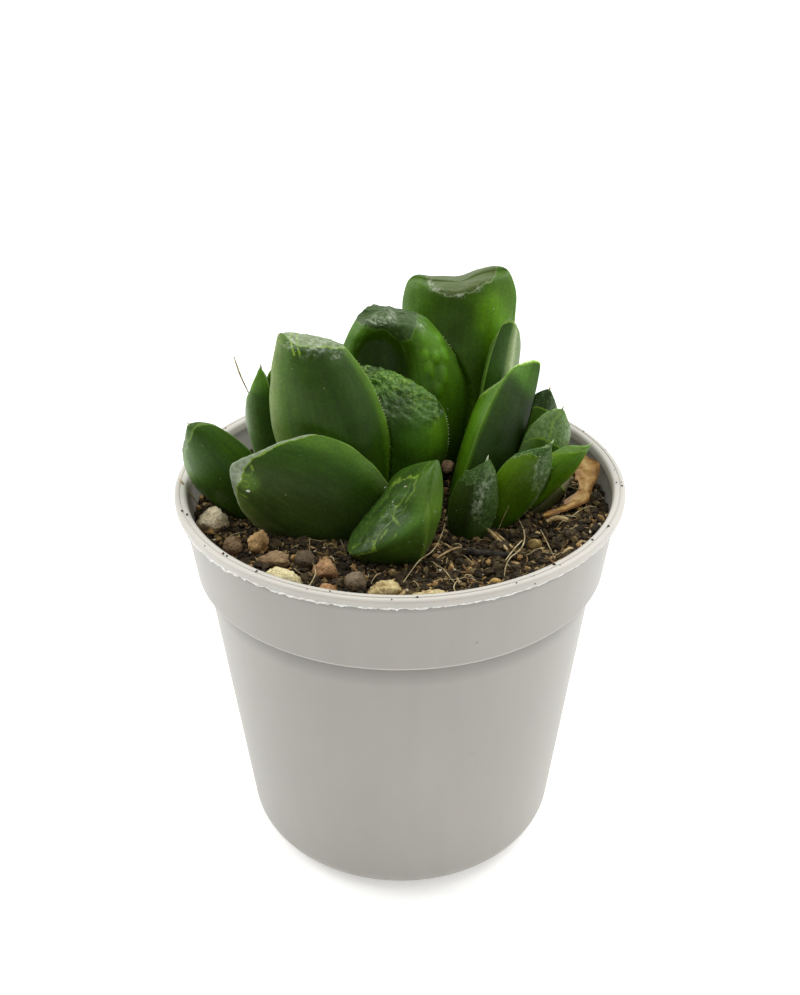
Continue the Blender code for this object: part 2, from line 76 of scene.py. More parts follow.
def finish_piece(name, bm, material, stands_for=(), sharp=None):
    """Makes the object of a bmesh in millimetres, shades it and lets it ride on the root."""
    bmesh.ops.scale(bm, vec=(MM, MM, MM), verts=bm.verts)
    mesh = mesh_of(name, bm)
    mesh.shade_smooth()
    if sharp:
        mesh.set_sharp_from_angle(angle=math.radians(sharp))
    mesh.materials.append(material)
    piece = add_object(name, mesh)
    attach(piece, "root")
    if stands_for:
        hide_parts(*stands_for)
    print(name, len(mesh.vertices), "vertices")
    return piece


# %% [markdown]
# Colours are read off as sRGB hex values, the way a colour picker shows them. The shader
# works in linear light, so one function turns them. A second fills the sockets of a node,
# and a third adds a node and gives back its output, ready to be linked to the next one.

# %% Colours and nodes
def linear(hex_colour):
    """sRGB hex to linear RGBA."""
    parts = [int(hex_colour[i:i + 2], 16) / 255 for i in (0, 2, 4)]
    return [c / 12.92 if c <= 0.04045 else ((c + 0.055) / 1.055) ** 2.4 for c in parts] + [1]


def dress(made, *inputs, **named):
    """Fills a node's live sockets in order, and those named with a capital; other names are
    its properties. A value is an output to link, a hex colour or plain, or None to skip."""
    for key, value in named.items():
        if key[0].islower():
            setattr(made, key, value)
    pairs = list(zip([socket for socket in made.inputs if socket.enabled], inputs))
    pairs += [(made.inputs[key.replace("_", " ")], value) for key, value in named.items()
              if key[0].isupper()]
    for socket, value in pairs:
        if isinstance(value, bpy.types.NodeSocket):
            made.id_data.links.new(value, socket)
        elif value is not None:
            socket.default_value = linear(value) if isinstance(value, str) else value


def node(tree, kind, *inputs, stops=(), out=None, **named):
    """Adds a dressed node, with its colour stops, and gives back its first live output."""
    made = tree.nodes.new("ShaderNode" + kind)
    dress(made, *inputs, **named)
    for i, (place, colour) in enumerate(stops):
        elements = made.color_ramp.elements
        stop = elements[i] if i < 2 else elements.new(place)
        stop.position = place
        stop.color = linear(colour)
    return made.outputs[out] if out else next(s for s in made.outputs if s.enabled)


def new_skin(name, roughness, **constants):
    """A Principled material, its shader, what adds a node to it, and object coordinates."""
    skin = bpy.data.materials.new(name)
    skin.use_nodes = True
    shader = skin.node_tree.nodes["Principled BSDF"]
    dress(shader, Roughness=roughness, **constants)
    add = partial(node, skin.node_tree)
    return skin, shader, add, add("TexCoord", out="Object")


def mottled_skin(name, roughness, grain, stops, relief=None, **constants):
    """A skin of one noise, which picks its colour from a ramp and may raise it as well."""
    skin, shader, add, place = new_skin(name, roughness, **constants)
    speckle = add("TexNoise", place, *grain)
    dress(shader, Base_Color=add("ValToRGB", speckle, stops=stops))
    if relief:
        dress(shader, Normal=add("Bump", *relief, Height=speckle))
    return skin


COLOUR = {"data_type": "RGBA"}
SMOOTH = {"interpolation_type": "SMOOTHSTEP"}

# %% [markdown]
# The picture was taken from just above the rim's height, looking down by 29 degrees, with
# the pot's rim about 190 mm away. A lens of 47.5 mm on a 36 mm tall frame gives that view.

# %% Camera
CAMERA_AT = Vector((0.01, -167.8, 149.5)) * MM
LOOK_AT = Vector((0.0, 0.0, 55.2)) * MM
CAMERA_ROLL = math.radians(-0.26)
LENS, SENSOR = 47.49, 36
NEAREST = 0.01

camera_data = bpy.data.cameras.new("camera")
camera_data.lens = LENS
camera_data.sensor_width = SENSOR
camera_data.clip_start = NEAREST
camera = add_object("camera", camera_data)
aim = (LOOK_AT - CAMERA_AT).to_track_quat("-Z", "Y").to_matrix()
turn = aim @ Matrix.Rotation(CAMERA_ROLL, 3, "Z")
camera.matrix_world = Matrix.Translation(CAMERA_AT) @ turn.to_4x4()
bpy.context.scene.camera = camera
bpy.context.scene.view_settings.view_transform = "Standard"
print("camera distance mm:", round((LOOK_AT - CAMERA_AT).length / MM, 1))

# %% [markdown]
# The picture was taken against a white sweep. The sweep is the main light: it curves up
# behind the object and over it, and the side of the camera is open and darker. So the pot
# is darkest in its middle and glows at both edges. The world is given that change from
# front to back, and two soft lamps, one on each side, draw the highlights on the leaves.

# %% Floor and light
SWEEP_WAY = Vector((0.31, 0.82, 0.52)).normalized()
SWEEP_FROM, SWEEP_TO = -0.75, 0.45
SWEEP_DARK, SWEEP_BRIGHT = 0.07, 1.15
FLOOR_HALF = 3.0
LAMPS = (("right", (0.42, 0.22, 0.50), 0.35, 1.5), ("left", (-0.45, 0.10, 0.42), 0.30, 1.3))

bm = bmesh.new()
bmesh.ops.create_grid(bm, x_segments=2, y_segments=2, size=FLOOR_HALF)
floor = add_object("floor", mesh_of("floor", bm))
table = new_skin("white_paper_table", 0.8, Base_Color=(0.92, 0.92, 0.915, 1),
                 Emission_Color=(1, 1, 0.99, 1), Emission_Strength=0.35)[0]
floor.data.materials.append(table)

world = bpy.data.worlds.new("light_tent")
world.use_nodes = True
add = partial(node, world.node_tree)
direction = add("TexCoord", out="Generated")
towards = add("VectorMath", direction, SWEEP_WAY, operation="DOT_PRODUCT")
sweep = add("MapRange", towards, SWEEP_FROM, SWEEP_TO, SWEEP_DARK, SWEEP_BRIGHT)
dress(world.node_tree.nodes["Background"], Color=(1, 1, 1, 1), Strength=sweep)
bpy.context.scene.world = world

for name, place, size, power in LAMPS:
    lamp = bpy.data.lights.new(name, "AREA")
    lamp.size = size
    lamp.energy = power
    holder = add_object(name, lamp)
    holder.location = place
    holder.rotation_euler = (LOOK_AT - Vector(place)).to_track_quat("-Z", "Y").to_euler()
print("lamps:", len(LAMPS))

# %% [markdown]
# The pot is injection-moulded polypropylene: a thin tapered wall, a step, a band and a
# rolled rim, made in one shot. All of it is round, so one profile is spun about the axis.
# The sizes are those of the solid; the spin is fine enough to look round, and each outer
# corner gets the small radius that a mould leaves.

# %% Pot sizes
POT_HEIGHT = 58.7
RIM_R = 32.5
RIM_THICK = 1.1
BAND_TOP_R = 31.5
BAND_LOW_R = 30.15
BAND_HEIGHT = 12.5
WALL_TOP_R = 28.8
WALL_LOW_R = 24.0
BASE_FILLET = 4.4
WALL = 0.9
FOOT_RING_WIDTH = 2.6
BASE_RECESS = 1.2
BASE_THICK = 1.0
DRAIN_R = 2.4
DRAIN_CIRCLE_R = 11.0
DRAIN_COUNT = 6


def arc(centre, radius, start, end, steps):
    """Points on a circle, angles in degrees."""
    points = []
    for i in range(steps + 1):
        angle = math.radians(start + (end - start) * i / steps)
        points.append((centre[0] + radius * math.cos(angle),
                       centre[1] + radius * math.sin(angle)))
    return points


def turned(profile, steps):
    """A closed body turned round Z from (radius, height) points."""
    bm = bmesh.new()
    verts = [bm.verts.new((r, 0, z)) for r, z in profile]
    edges = [bm.edges.new(pair) for pair in zip(verts, verts[1:])]
    bmesh.ops.spin(bm, geom=verts + edges, cent=(0, 0, 0), axis=(0, 0, 1),
                   angle=math.tau, steps=steps, use_merge=True)
    bmesh.ops.remove_doubles(bm, verts=bm.verts, dist=0.001)
    bmesh.ops.recalc_face_normals(bm, faces=bm.faces)
    return bm


# %% [markdown]
# The profile runs from the middle of the base over the foot ring, up the outer side, over
# the rim and down the inside to the middle of the floor.

# %% Pot profile
BAND_LOW = POT_HEIGHT - BAND_HEIGHT
RIM_LOW = POT_HEIGHT - RIM_THICK
RING_OUT = WALL_LOW_R - BASE_FILLET
RING_IN = RING_OUT - FOOT_RING_WIDTH
FLOOR_TOP = BASE_RECESS + BASE_THICK

outer = [(0, BASE_RECESS), (RING_IN - BASE_RECESS, BASE_RECESS), (RING_IN - 0.2, 0.1),
         (RING_IN, 0)]
outer += arc((RING_OUT, BASE_FILLET), BASE_FILLET, -90, -8, 12)
outer += [(WALL_TOP_R - 0.2, BAND_LOW - 2.4), (WALL_TOP_R - 0.02, BAND_LOW - 0.8)]
outer += arc((WALL_TOP_R + 0.5, BAND_LOW - 0.5), 0.5, 180, 90, 4)
outer += arc((BAND_LOW_R - 0.4, BAND_LOW + 0.4), 0.4, -90, -6, 5)
outer += [(BAND_LOW_R + (BAND_TOP_R - BAND_LOW_R) * k, BAND_LOW + 0.5
           + (RIM_LOW - BAND_LOW - 1.1) * k) for k in (0.02, 0.33, 0.66, 1)]
outer += [(BAND_TOP_R + 0.06, RIM_LOW - 0.25), (BAND_TOP_R + 0.25, RIM_LOW),
          (RIM_R - 0.25, RIM_LOW)]
outer += arc((RIM_R - 0.25, RIM_LOW + 0.25), 0.25, -90, 0, 4)[1:]
outer += arc((RIM_R - 0.45, POT_HEIGHT - 0.45), 0.45, 0, 90, 5)
outer += [(RIM_R - 0.70, POT_HEIGHT), (RIM_R - 0.76, POT_HEIGHT - 0.12),
          (RIM_R - 0.88, POT_HEIGHT - 0.12), (RIM_R - 0.94, POT_HEIGHT)]
INNER = [(BAND_TOP_R - WALL + 0.55, POT_HEIGHT), (BAND_TOP_R - WALL + 0.25, POT_HEIGHT - 0.12),
         (BAND_TOP_R - WALL + 0.1, POT_HEIGHT - 0.5), (BAND_LOW_R - WALL, BAND_LOW + 0.6),
         (WALL_TOP_R - WALL, BAND_LOW - 0.8), (WALL_LOW_R - WALL, FLOOR_TOP + 3.0),
         (WALL_LOW_R - WALL - 2.6, FLOOR_TOP), (0, FLOOR_TOP)]
POT_PROFILE = outer + INNER
print("pot profile points:", len(POT_PROFILE))

# %% [markdown]
# Polypropylene is cheap, slightly waxy and a little cloudy. Filled with grey pigment it is
# a warm light grey with a satin skin. Faint upright flow marks from the mould, a fine
# orange-peel bump of about 0.3 mm and a few grey scuffs keep it from looking like a
# drawing. Splashes of water and soil leave small dark specks near the rim.

# %% Pot plastic
# heights in mm and the grey painted there as shade and highlight: BCBCBC leaves it as it is
PAINTED_LIGHT_LOW = BAND_LOW - 4
POT_PAINTED_LIGHT = ((PAINTED_LIGHT_LOW, "BCBCBC"), (BAND_LOW - 0.4, "969696"), (BAND_LOW - 0.05, "989898"),
             (BAND_LOW + 0.1, "E4E4E4"), (BAND_LOW + 0.45, "BCBCBC"),
             (RIM_LOW - 1.6, "BCBCBC"), (RIM_LOW - 0.3, "949494"), (RIM_LOW, "CCCCCC"),
             (RIM_LOW + 0.3, "E2E2E2"), (POT_HEIGHT, "EAEAEA"))
SPLASH_LOW, SPLASH_HIGH = 40, 60

plastic, shader, add, place = new_skin("grey_polypropylene", 0.4, Specular_IOR_Level=0.5,
                                       Subsurface_Weight=0.05, Subsurface_Scale=0.002)
streaks = add("TexNoise", add("Mapping", place, Scale=(1, 1, 0.08)), 260, 3)
mix = add("Mix", 0.5, streaks, add("TexNoise", place, 60, 2))
grey = add("ValToRGB", mix, stops=((0.3, "9F9C95"), (0.7, "A5A29A")))
rubs = add("TexNoise", add("Mapping", place, Scale=(1, 1, 2.6)), 45, 4, 0.65)
scuffs = add("MapRange", rubs, 0.66, 0.76, 0, 0.4)
scuffed = add("Mix", scuffs, grey, "8B8880", **COLOUR)
height = add("SeparateXYZ", place, out="Z")
near_rim = add("MapRange", height, SPLASH_LOW * MM, SPLASH_HIGH * MM, 0.02, 0.12)
dot_size = add("Math", add("TexNoise", place, 90, 1), near_rim, operation="MULTIPLY")
dots = add("Math", add("TexVoronoi", place, 210), dot_size, operation="LESS_THAN")
# painted highlights on the rim and the step's edge, and painted shade in the corners under them
up = add("MapRange", height, PAINTED_LIGHT_LOW * MM, POT_HEIGHT * MM)
painted_light_ramp = add("ValToRGB", up, stops=[((z - PAINTED_LIGHT_LOW) / (POT_HEIGHT - PAINTED_LIGHT_LOW), tint)
                                    for z, tint in POT_PAINTED_LIGHT])
grey_with_painted_light = add("Mix", 1.0, scuffed, painted_light_ramp, blend_type="OVERLAY", **COLOUR)
speckled = add("Mix", dots, grey_with_painted_light, "5B5148", **COLOUR)
peel = add("Bump", 0.12, 0.0001, Height=add("TexNoise", place, 2600, 2))
dress(shader, Base_Color=speckled, Normal=peel)

# %% [markdown]
# The pot is spun from the profile. A cylinder cuts each drain hole in it with a boolean,
# whose result is kept as a plain mesh.

# %% Pot
POT_STEPS = 192
DRILL_LONG, DRILL_AT = 8, 2

pot = turned(POT_PROFILE, POT_STEPS)
pot_piece = finish_piece("nursery_pot", pot, plastic, ["pot"], sharp=50)
for i in range(DRAIN_COUNT):
    bm = bmesh.new()
    bmesh.ops.create_cone(bm, cap_ends=True, segments=32, radius1=DRAIN_R * MM,
                          radius2=DRAIN_R * MM, depth=DRILL_LONG * MM)
    angle = math.tau * i / DRAIN_COUNT
    at = (DRAIN_CIRCLE_R * math.cos(angle), DRAIN_CIRCLE_R * math.sin(angle), DRILL_AT)
    bmesh.ops.translate(bm, vec=Vector(at) * MM, verts=bm.verts)
    drill = add_object("drain_drill", mesh_of("drain_drill", bm))
    cut = pot_piece.modifiers.new("drain", "BOOLEAN")
    cut.operation = "DIFFERENCE"
    cut.object = drill
    bored = bpy.data.meshes.new_from_object(
        pot_piece.evaluated_get(bpy.context.evaluated_depsgraph_get()))
    pot_piece.modifiers.clear()
    pot_piece.data = bored
    bpy.data.objects.remove(drill)
print("pot faces:", len(pot_piece.data.polygons))

# %% [markdown]
# Where the two halves of the mould meet, a thin fin of plastic squeezes out and tears off
# ragged. It hangs under the rim's outer edge, mostly on one side, and catches the light. It
# is a circle that is extruded down by an uneven length and then given its thickness.

# %% Rim flash
FLASH_STEPS = 900
FLASH_THICK = 0.09
FLASH_SHORTEST, FLASH_LONGEST = 0.17, 0.42
FLASH_WAVES = 0.0012
FLASH_SIDE = math.radians(232)

bm = bmesh.new()
ring = bmesh.ops.create_circle(bm, segments=FLASH_STEPS, radius=RIM_R - 0.1)["verts"]
bmesh.ops.translate(bm, vec=(0, 0, RIM_LOW + 0.15), verts=ring)
fin = bmesh.ops.extrude_edge_only(bm, edges=bm.edges[:])["geom"]
for vert in (part for part in fin if isinstance(part, bmesh.types.BMVert)):
    nearness = 0.5 + 0.5 * math.cos(math.atan2(vert.co.y, vert.co.x) - FLASH_SIDE)
    ragged = 0.5 + noise.noise(vert.co * 0.9) + 0.6 * noise.noise(vert.co * 3.1)
    vert.co.z -= FLASH_SHORTEST + FLASH_LONGEST * nearness ** 2 * max(0.0, ragged)
    vert.co.xy *= 1 + FLASH_WAVES * noise.noise(vert.co * 1.7)
bmesh.ops.recalc_face_normals(bm, faces=bm.faces)
bmesh.ops.solidify(bm, geom=bm.faces[:], thickness=FLASH_THICK)
bmesh.ops.recalc_face_normals(bm, faces=bm.faces)
torn_plastic = mottled_skin("torn_polypropylene_edge", 0.35, (1200, 2),
                            ((0.4, "D2CFC8"), (0.6, "F2F0EA")),
                            Subsurface_Weight=0.1, Subsurface_Scale=0.001)
finish_piece("rim_flash", bm, torn_plastic)

# %% [markdown]
# A leaf of this plant is a blunt water store. Seen from its back it swells from a narrow
# foot to its widest place and closes again, with a margin on each side; in section the back
# is round and the inner face flatter. The top is cut off aslant, and the cut is the window.
# The whole leaf can be had from a sphere: each ring becomes one section of the wall, and the
# rings of the last quarter close the window. Only the few sizes in the table then change
# from leaf to leaf.

# %% Leaf sizes
# lean is the way the axis tilts, face is the way the back looks, and tip is where round the
# top the highest point lies: 0 left margin, 90 back, 180 right margin, seen from the back.
LEAF_SHARED = {"back": 2.5, "inner": 2.5, "wide": 0.5, "foot_w": 0.5, "top_w": 0.1, "cut": 0.4,
               "tip": 90, "bow": 0.0, "sway": 0.0, "keel": 0.0, "pressed_by": ()}
Leaf = namedtuple("Leaf", ["foot", "lean", "tilt", "face", "length", "width", *LEAF_SHARED],
                  defaults=LEAF_SHARED.values())

MAIN_LEAVES = {
    "leaf_tall_left": Leaf(
        (-5.6, 0.0, 51.0), 186, 16, 274, 31.5, 16.0, 4.5, 3.5, 0.49, 0.37, 0.38,
        cut=0.13, tip=0, bow=-0.06, sway=-0.02),
    "leaf_front_left": Leaf(
        (-1.3, -5.5, 52.0), 182, 55, 275, 26.0, 18.0, 3.9, 3.5, 0.53, 0.44, 0.34,
        cut=0.59, tip=83, bow=0.03, sway=0.04, pressed_by=("leaf_tall_left",)),
    "leaf_centre": Leaf(
        (0.2, 2.5, 51.0), 130, 11, 90, 23.6, 17.0, 3.5, 4.0, 0.54, 0.28, 0.47,
        cut=0.34, tip=138, bow=-0.04, pressed_by=("leaf_tall_left",)),
    "leaf_upper": Leaf(
        (2.1, 6.0, 50.5), 104, 20, 104, 30.6, 20.5, 4.0, 4.0, 0.53, 0.34, 0.33,
        cut=0.11, tip=118, bow=-0.01, sway=-0.05, pressed_by=("leaf_centre",)),
    "leaf_tallest": Leaf(
        (8.7, 9.5, 50.0), 93, 26, 85, 35.3, 17.5, 4.0, 4.0, 0.83, 0.39, 0.76,
        cut=0.11, tip=55, bow=-0.03, sway=0.05, pressed_by=("leaf_upper",)),
    "leaf_right": Leaf(
        (8.0, -1.5, 50.5), 44, 32.5, 334, 27.6, 12.5, 4.0, 3.5, 0.56, 0.47, 0.10,
        cut=0.34, tip=75, bow=-0.04, sway=-0.02, keel=0.8),
    "leaf_front": Leaf(
        (-1.0, -8.0, 51.0), 296, 31, 386, 21.5, 12.5, 4.4, 11.0, 0.44, 0.58, 0.40,
        cut=0.84, tip=61, bow=-0.02, sway=-0.12, pressed_by=("leaf_front_left",)),
    "leaf_back_right": Leaf(
        (12.2, 9.7, 49.5), 53.4, 15.2, 330, 28.7, 11.3, 2.2, 1.8, 0.66, 0.50, 0.40,
        cut=0.30, tip=40, pressed_by=("leaf_tallest", "leaf_right")),
    "leaf_back_left": Leaf(
        (-1.5, 9.5, 50.0), 130, 32, 122, 26.0, 13.0, 3.0, 2.6, 0.58, 0.45, 0.25,
        cut=0.30, tip=90, pressed_by=("leaf_upper", "leaf_tallest")),
}

RIGHT_OFFSET_LEAVES = {
    "offset_right_leaf_1": Leaf((17.4, 6.2, 50.2), 25, 14, 300, 19.8, 8.6, wide=0.66,
                                top_w=0.20, cut=0.50, tip=60,
                                pressed_by=("leaf_right", "offset_right_leaf_2",
                                            "leaf_back_right")),
    "offset_right_leaf_2": Leaf((17.6, 2.3, 51.0), 15.8, 18.8, 300, 18.3, 8.6, wide=0.66,
                                top_w=0.25, cut=0.45, tip=62,
                                pressed_by=("offset_right_leaf_3", "offset_right_leaf_4")),
    "offset_right_leaf_3": Leaf((14.8, -1.5, 52.0), 7, 44.4, 290, 17.7, 5.6, 2.0, 2.0, 0.62,
                                top_w=0.14, cut=0.30, tip=110,
                                pressed_by=("offset_right_leaf_4",)),
    "offset_right_leaf_4": Leaf((12.7, -4.3, 51.0), 12, 27.5, 287, 17.5, 8.2, wide=0.56,
                                foot_w=0.45, top_w=0.08, cut=0.36, tip=110, bow=0.02,
                                sway=-0.01),
    "offset_right_leaf_5": Leaf((9.2, -7.2, 51.0), 34, 10.5, 258, 14.6, 6.8, wide=0.43,
                                foot_w=0.61, top_w=0.15, cut=0.38, tip=116, bow=-0.01,
                                sway=-0.05, keel=0.5, pressed_by=("offset_right_leaf_4",)),
    "dying_leaf_tip": Leaf((18.6, -1.8, 52.6), 40, 66, 310, 9.6, 4.2, 1.2, 1.0,
                           top_w=0.06, cut=0.30, pressed_by=("offset_right_leaf_3",
                                                             "offset_right_leaf_2")),
}

LEFT_OFFSET_LEAVES = {
    "offset_left_leaf_1": Leaf((-20.0, -0.4, 51.0), 198, 31.3, 254, 21.1, 11.6, 3.0, 2.2, 0.50,
                               0.30, 0.13, cut=0.38, tip=106, bow=-0.07, sway=-0.05,
                               pressed_by=("leaf_front_left",)),
    "offset_left_leaf_2": Leaf((-17.8, 5.8, 51.0), 155.2, 17.9, 240, 22.1, 6.0, 2.0, 1.4, 0.60,
                               top_w=0.30, cut=0.30, tip=165, bow=-0.01, sway=-0.17),
    "offset_left_leaf_3": Leaf((-15.2, 8.6, 49.7), 151.8, 19.4, 235, 22.0, 6.0, 1.9, 1.4, 0.60,
                               top_w=0.25, cut=0.30, tip=145, sway=-0.15,
                               pressed_by=("offset_left_leaf_2",)),
}
LEAVES = {**MAIN_LEAVES, **RIGHT_OFFSET_LEAVES, **LEFT_OFFSET_LEAVES}
print("leaves:", len(LEAVES))

# %% [markdown]
# These functions turn a place on the sphere into a place on the leaf: how wide and how deep
# it is there, how high its cut edge runs, and which way the whole leaf leans.

# %% Leaf form
WALL_RINGS = 0.75
FOOT_ROUND = 0.10
BACK_SWELL, INNER_SWELL = (0.5, 0.5, 0.6), (0.6, 0.45, 0.8)
BACK_ROUND, INNER_ROUND, KEEL_SHARP = 2.2, 3, 2.2
WINDOW_BACK, WINDOW_INNER = 0.36, 0.64


def swell(share, peak, low, high):
    """A width along the leaf: low at the foot, 1 at its peak and high at the top."""
    if share < peak:
        return low + (1 - low) * math.sin(math.pi / 2 * share / peak)
    return 1 - (1 - high) * ((share - peak) / (1 - peak)) ** 2


def edge_share(spec, angle):
    """How far up the leaf the window's edge lies at an angle round the section."""
    return 1 - spec.cut * (1 - math.cos(angle - math.radians(spec.tip))) / 2


def depths(spec, share):
    """How deep the back and the inner face are at a share of the length."""
    return spec.back * swell(share, *BACK_SWELL), spec.inner * swell(share, *INNER_SWELL)


def wall_point(spec, angle, share, close):
    """A point of the wall as (side, deep, up) in the leaf's own axes."""
    across = math.cos(angle)
    half = spec.width / 2 * swell(share, spec.wide, spec.foot_w, spec.top_w)
    back, inner = depths(spec, share)
    if math.sin(angle) >= 0:
        deep = back * (1 - abs(across) ** BACK_ROUND)
        deep += spec.keel * share * max(0, 1 - abs(across) * KEEL_SHARP)
    else:
        deep = -inner * (1 - abs(across) ** INNER_ROUND)
    shift = spec.length * share ** 2
    return Vector((half * across * close + spec.sway * shift,
                   deep * close + spec.bow * shift, share * spec.length))


def window_middle(spec):
    """The middle of the window, where its rings close."""
    middle = 1 - spec.cut / 2
    shift = spec.length * middle ** 2
    deep = spec.bow * shift + (spec.back * WINDOW_BACK - spec.inner * WINDOW_INNER) / 2
    return Vector((spec.sway * shift, deep, middle * spec.length))


def leaf_axes(spec):
    """The leaf's own axes: left as seen from its back, towards its back, and up its length."""
    lean, tilt, face = (math.radians(a) for a in (spec.lean, spec.tilt, spec.face))
    up = Vector((math.sin(tilt) * math.cos(lean), math.sin(tilt) * math.sin(lean),
                 math.cos(tilt)))
    back = Vector((math.cos(face), math.sin(face), 0))
    back = (back - up * back.dot(up)).normalized()
    return back.cross(up), back, up


# %% [markdown]
# No two leaves look alike, so each has its own short description. Seen from the back, the
# colours run from the left margin to the right one, and their pale margin ends are partly a
# painted sheen. The window's tissue creeps some way down over the edge, `drop`, and ends in
# a ragged line that is often yellow-green. Forms are lumps and hollows, with their place,
# half sizes, height and tone, on the back (1), the inner face (-1) or everywhere (0); the
# tone is painted light, a factor on the colour that paints shade below 1, mostly into the
# hollows, and a painted highlight above 1. Covers are places where green flesh grows over
# the window, and the crest lifts or lowers the cut edge. Veins are broken lines, and glints
# are painted highlights, silvery patches of colour. All are in mm across and up the leaf.
# `soft` says how wide a ring of the edge is smoothed, and how often.

# %% Leaf looks
LOOK_SHARED = {
    "inner": ("38541E", "4E7030"), "foot": "2B3D12", "foot_share": 0.4,
    "window": ("44602E", "5E7A42"), "line": "86A83A", "drop": ((0, 0.5), (1, 0.5)),
    "inner_drop": ((0, 0.5), (1, 0.5)), "ragged": 0.25, "lumps": 0.08, "dots": 0.0,
    "glow": "6F9236", "forms": (), "covers": (), "crest": (), "veins": (), "gleams": (),
    "silver": "A9BC94", "soft": (0.035, 3)}
Look = namedtuple("Look", ["back", *LOOK_SHARED], defaults=LOOK_SHARED.values())

LEAFY = ((0, "4E6A2E"), (0.5, "34501C"), (1, "4E6A2E"))
SPECKLED = ((0, "6E8656"), (0.15, "4A6628"), (0.6, "34501A"), (1, "5E7A40"))
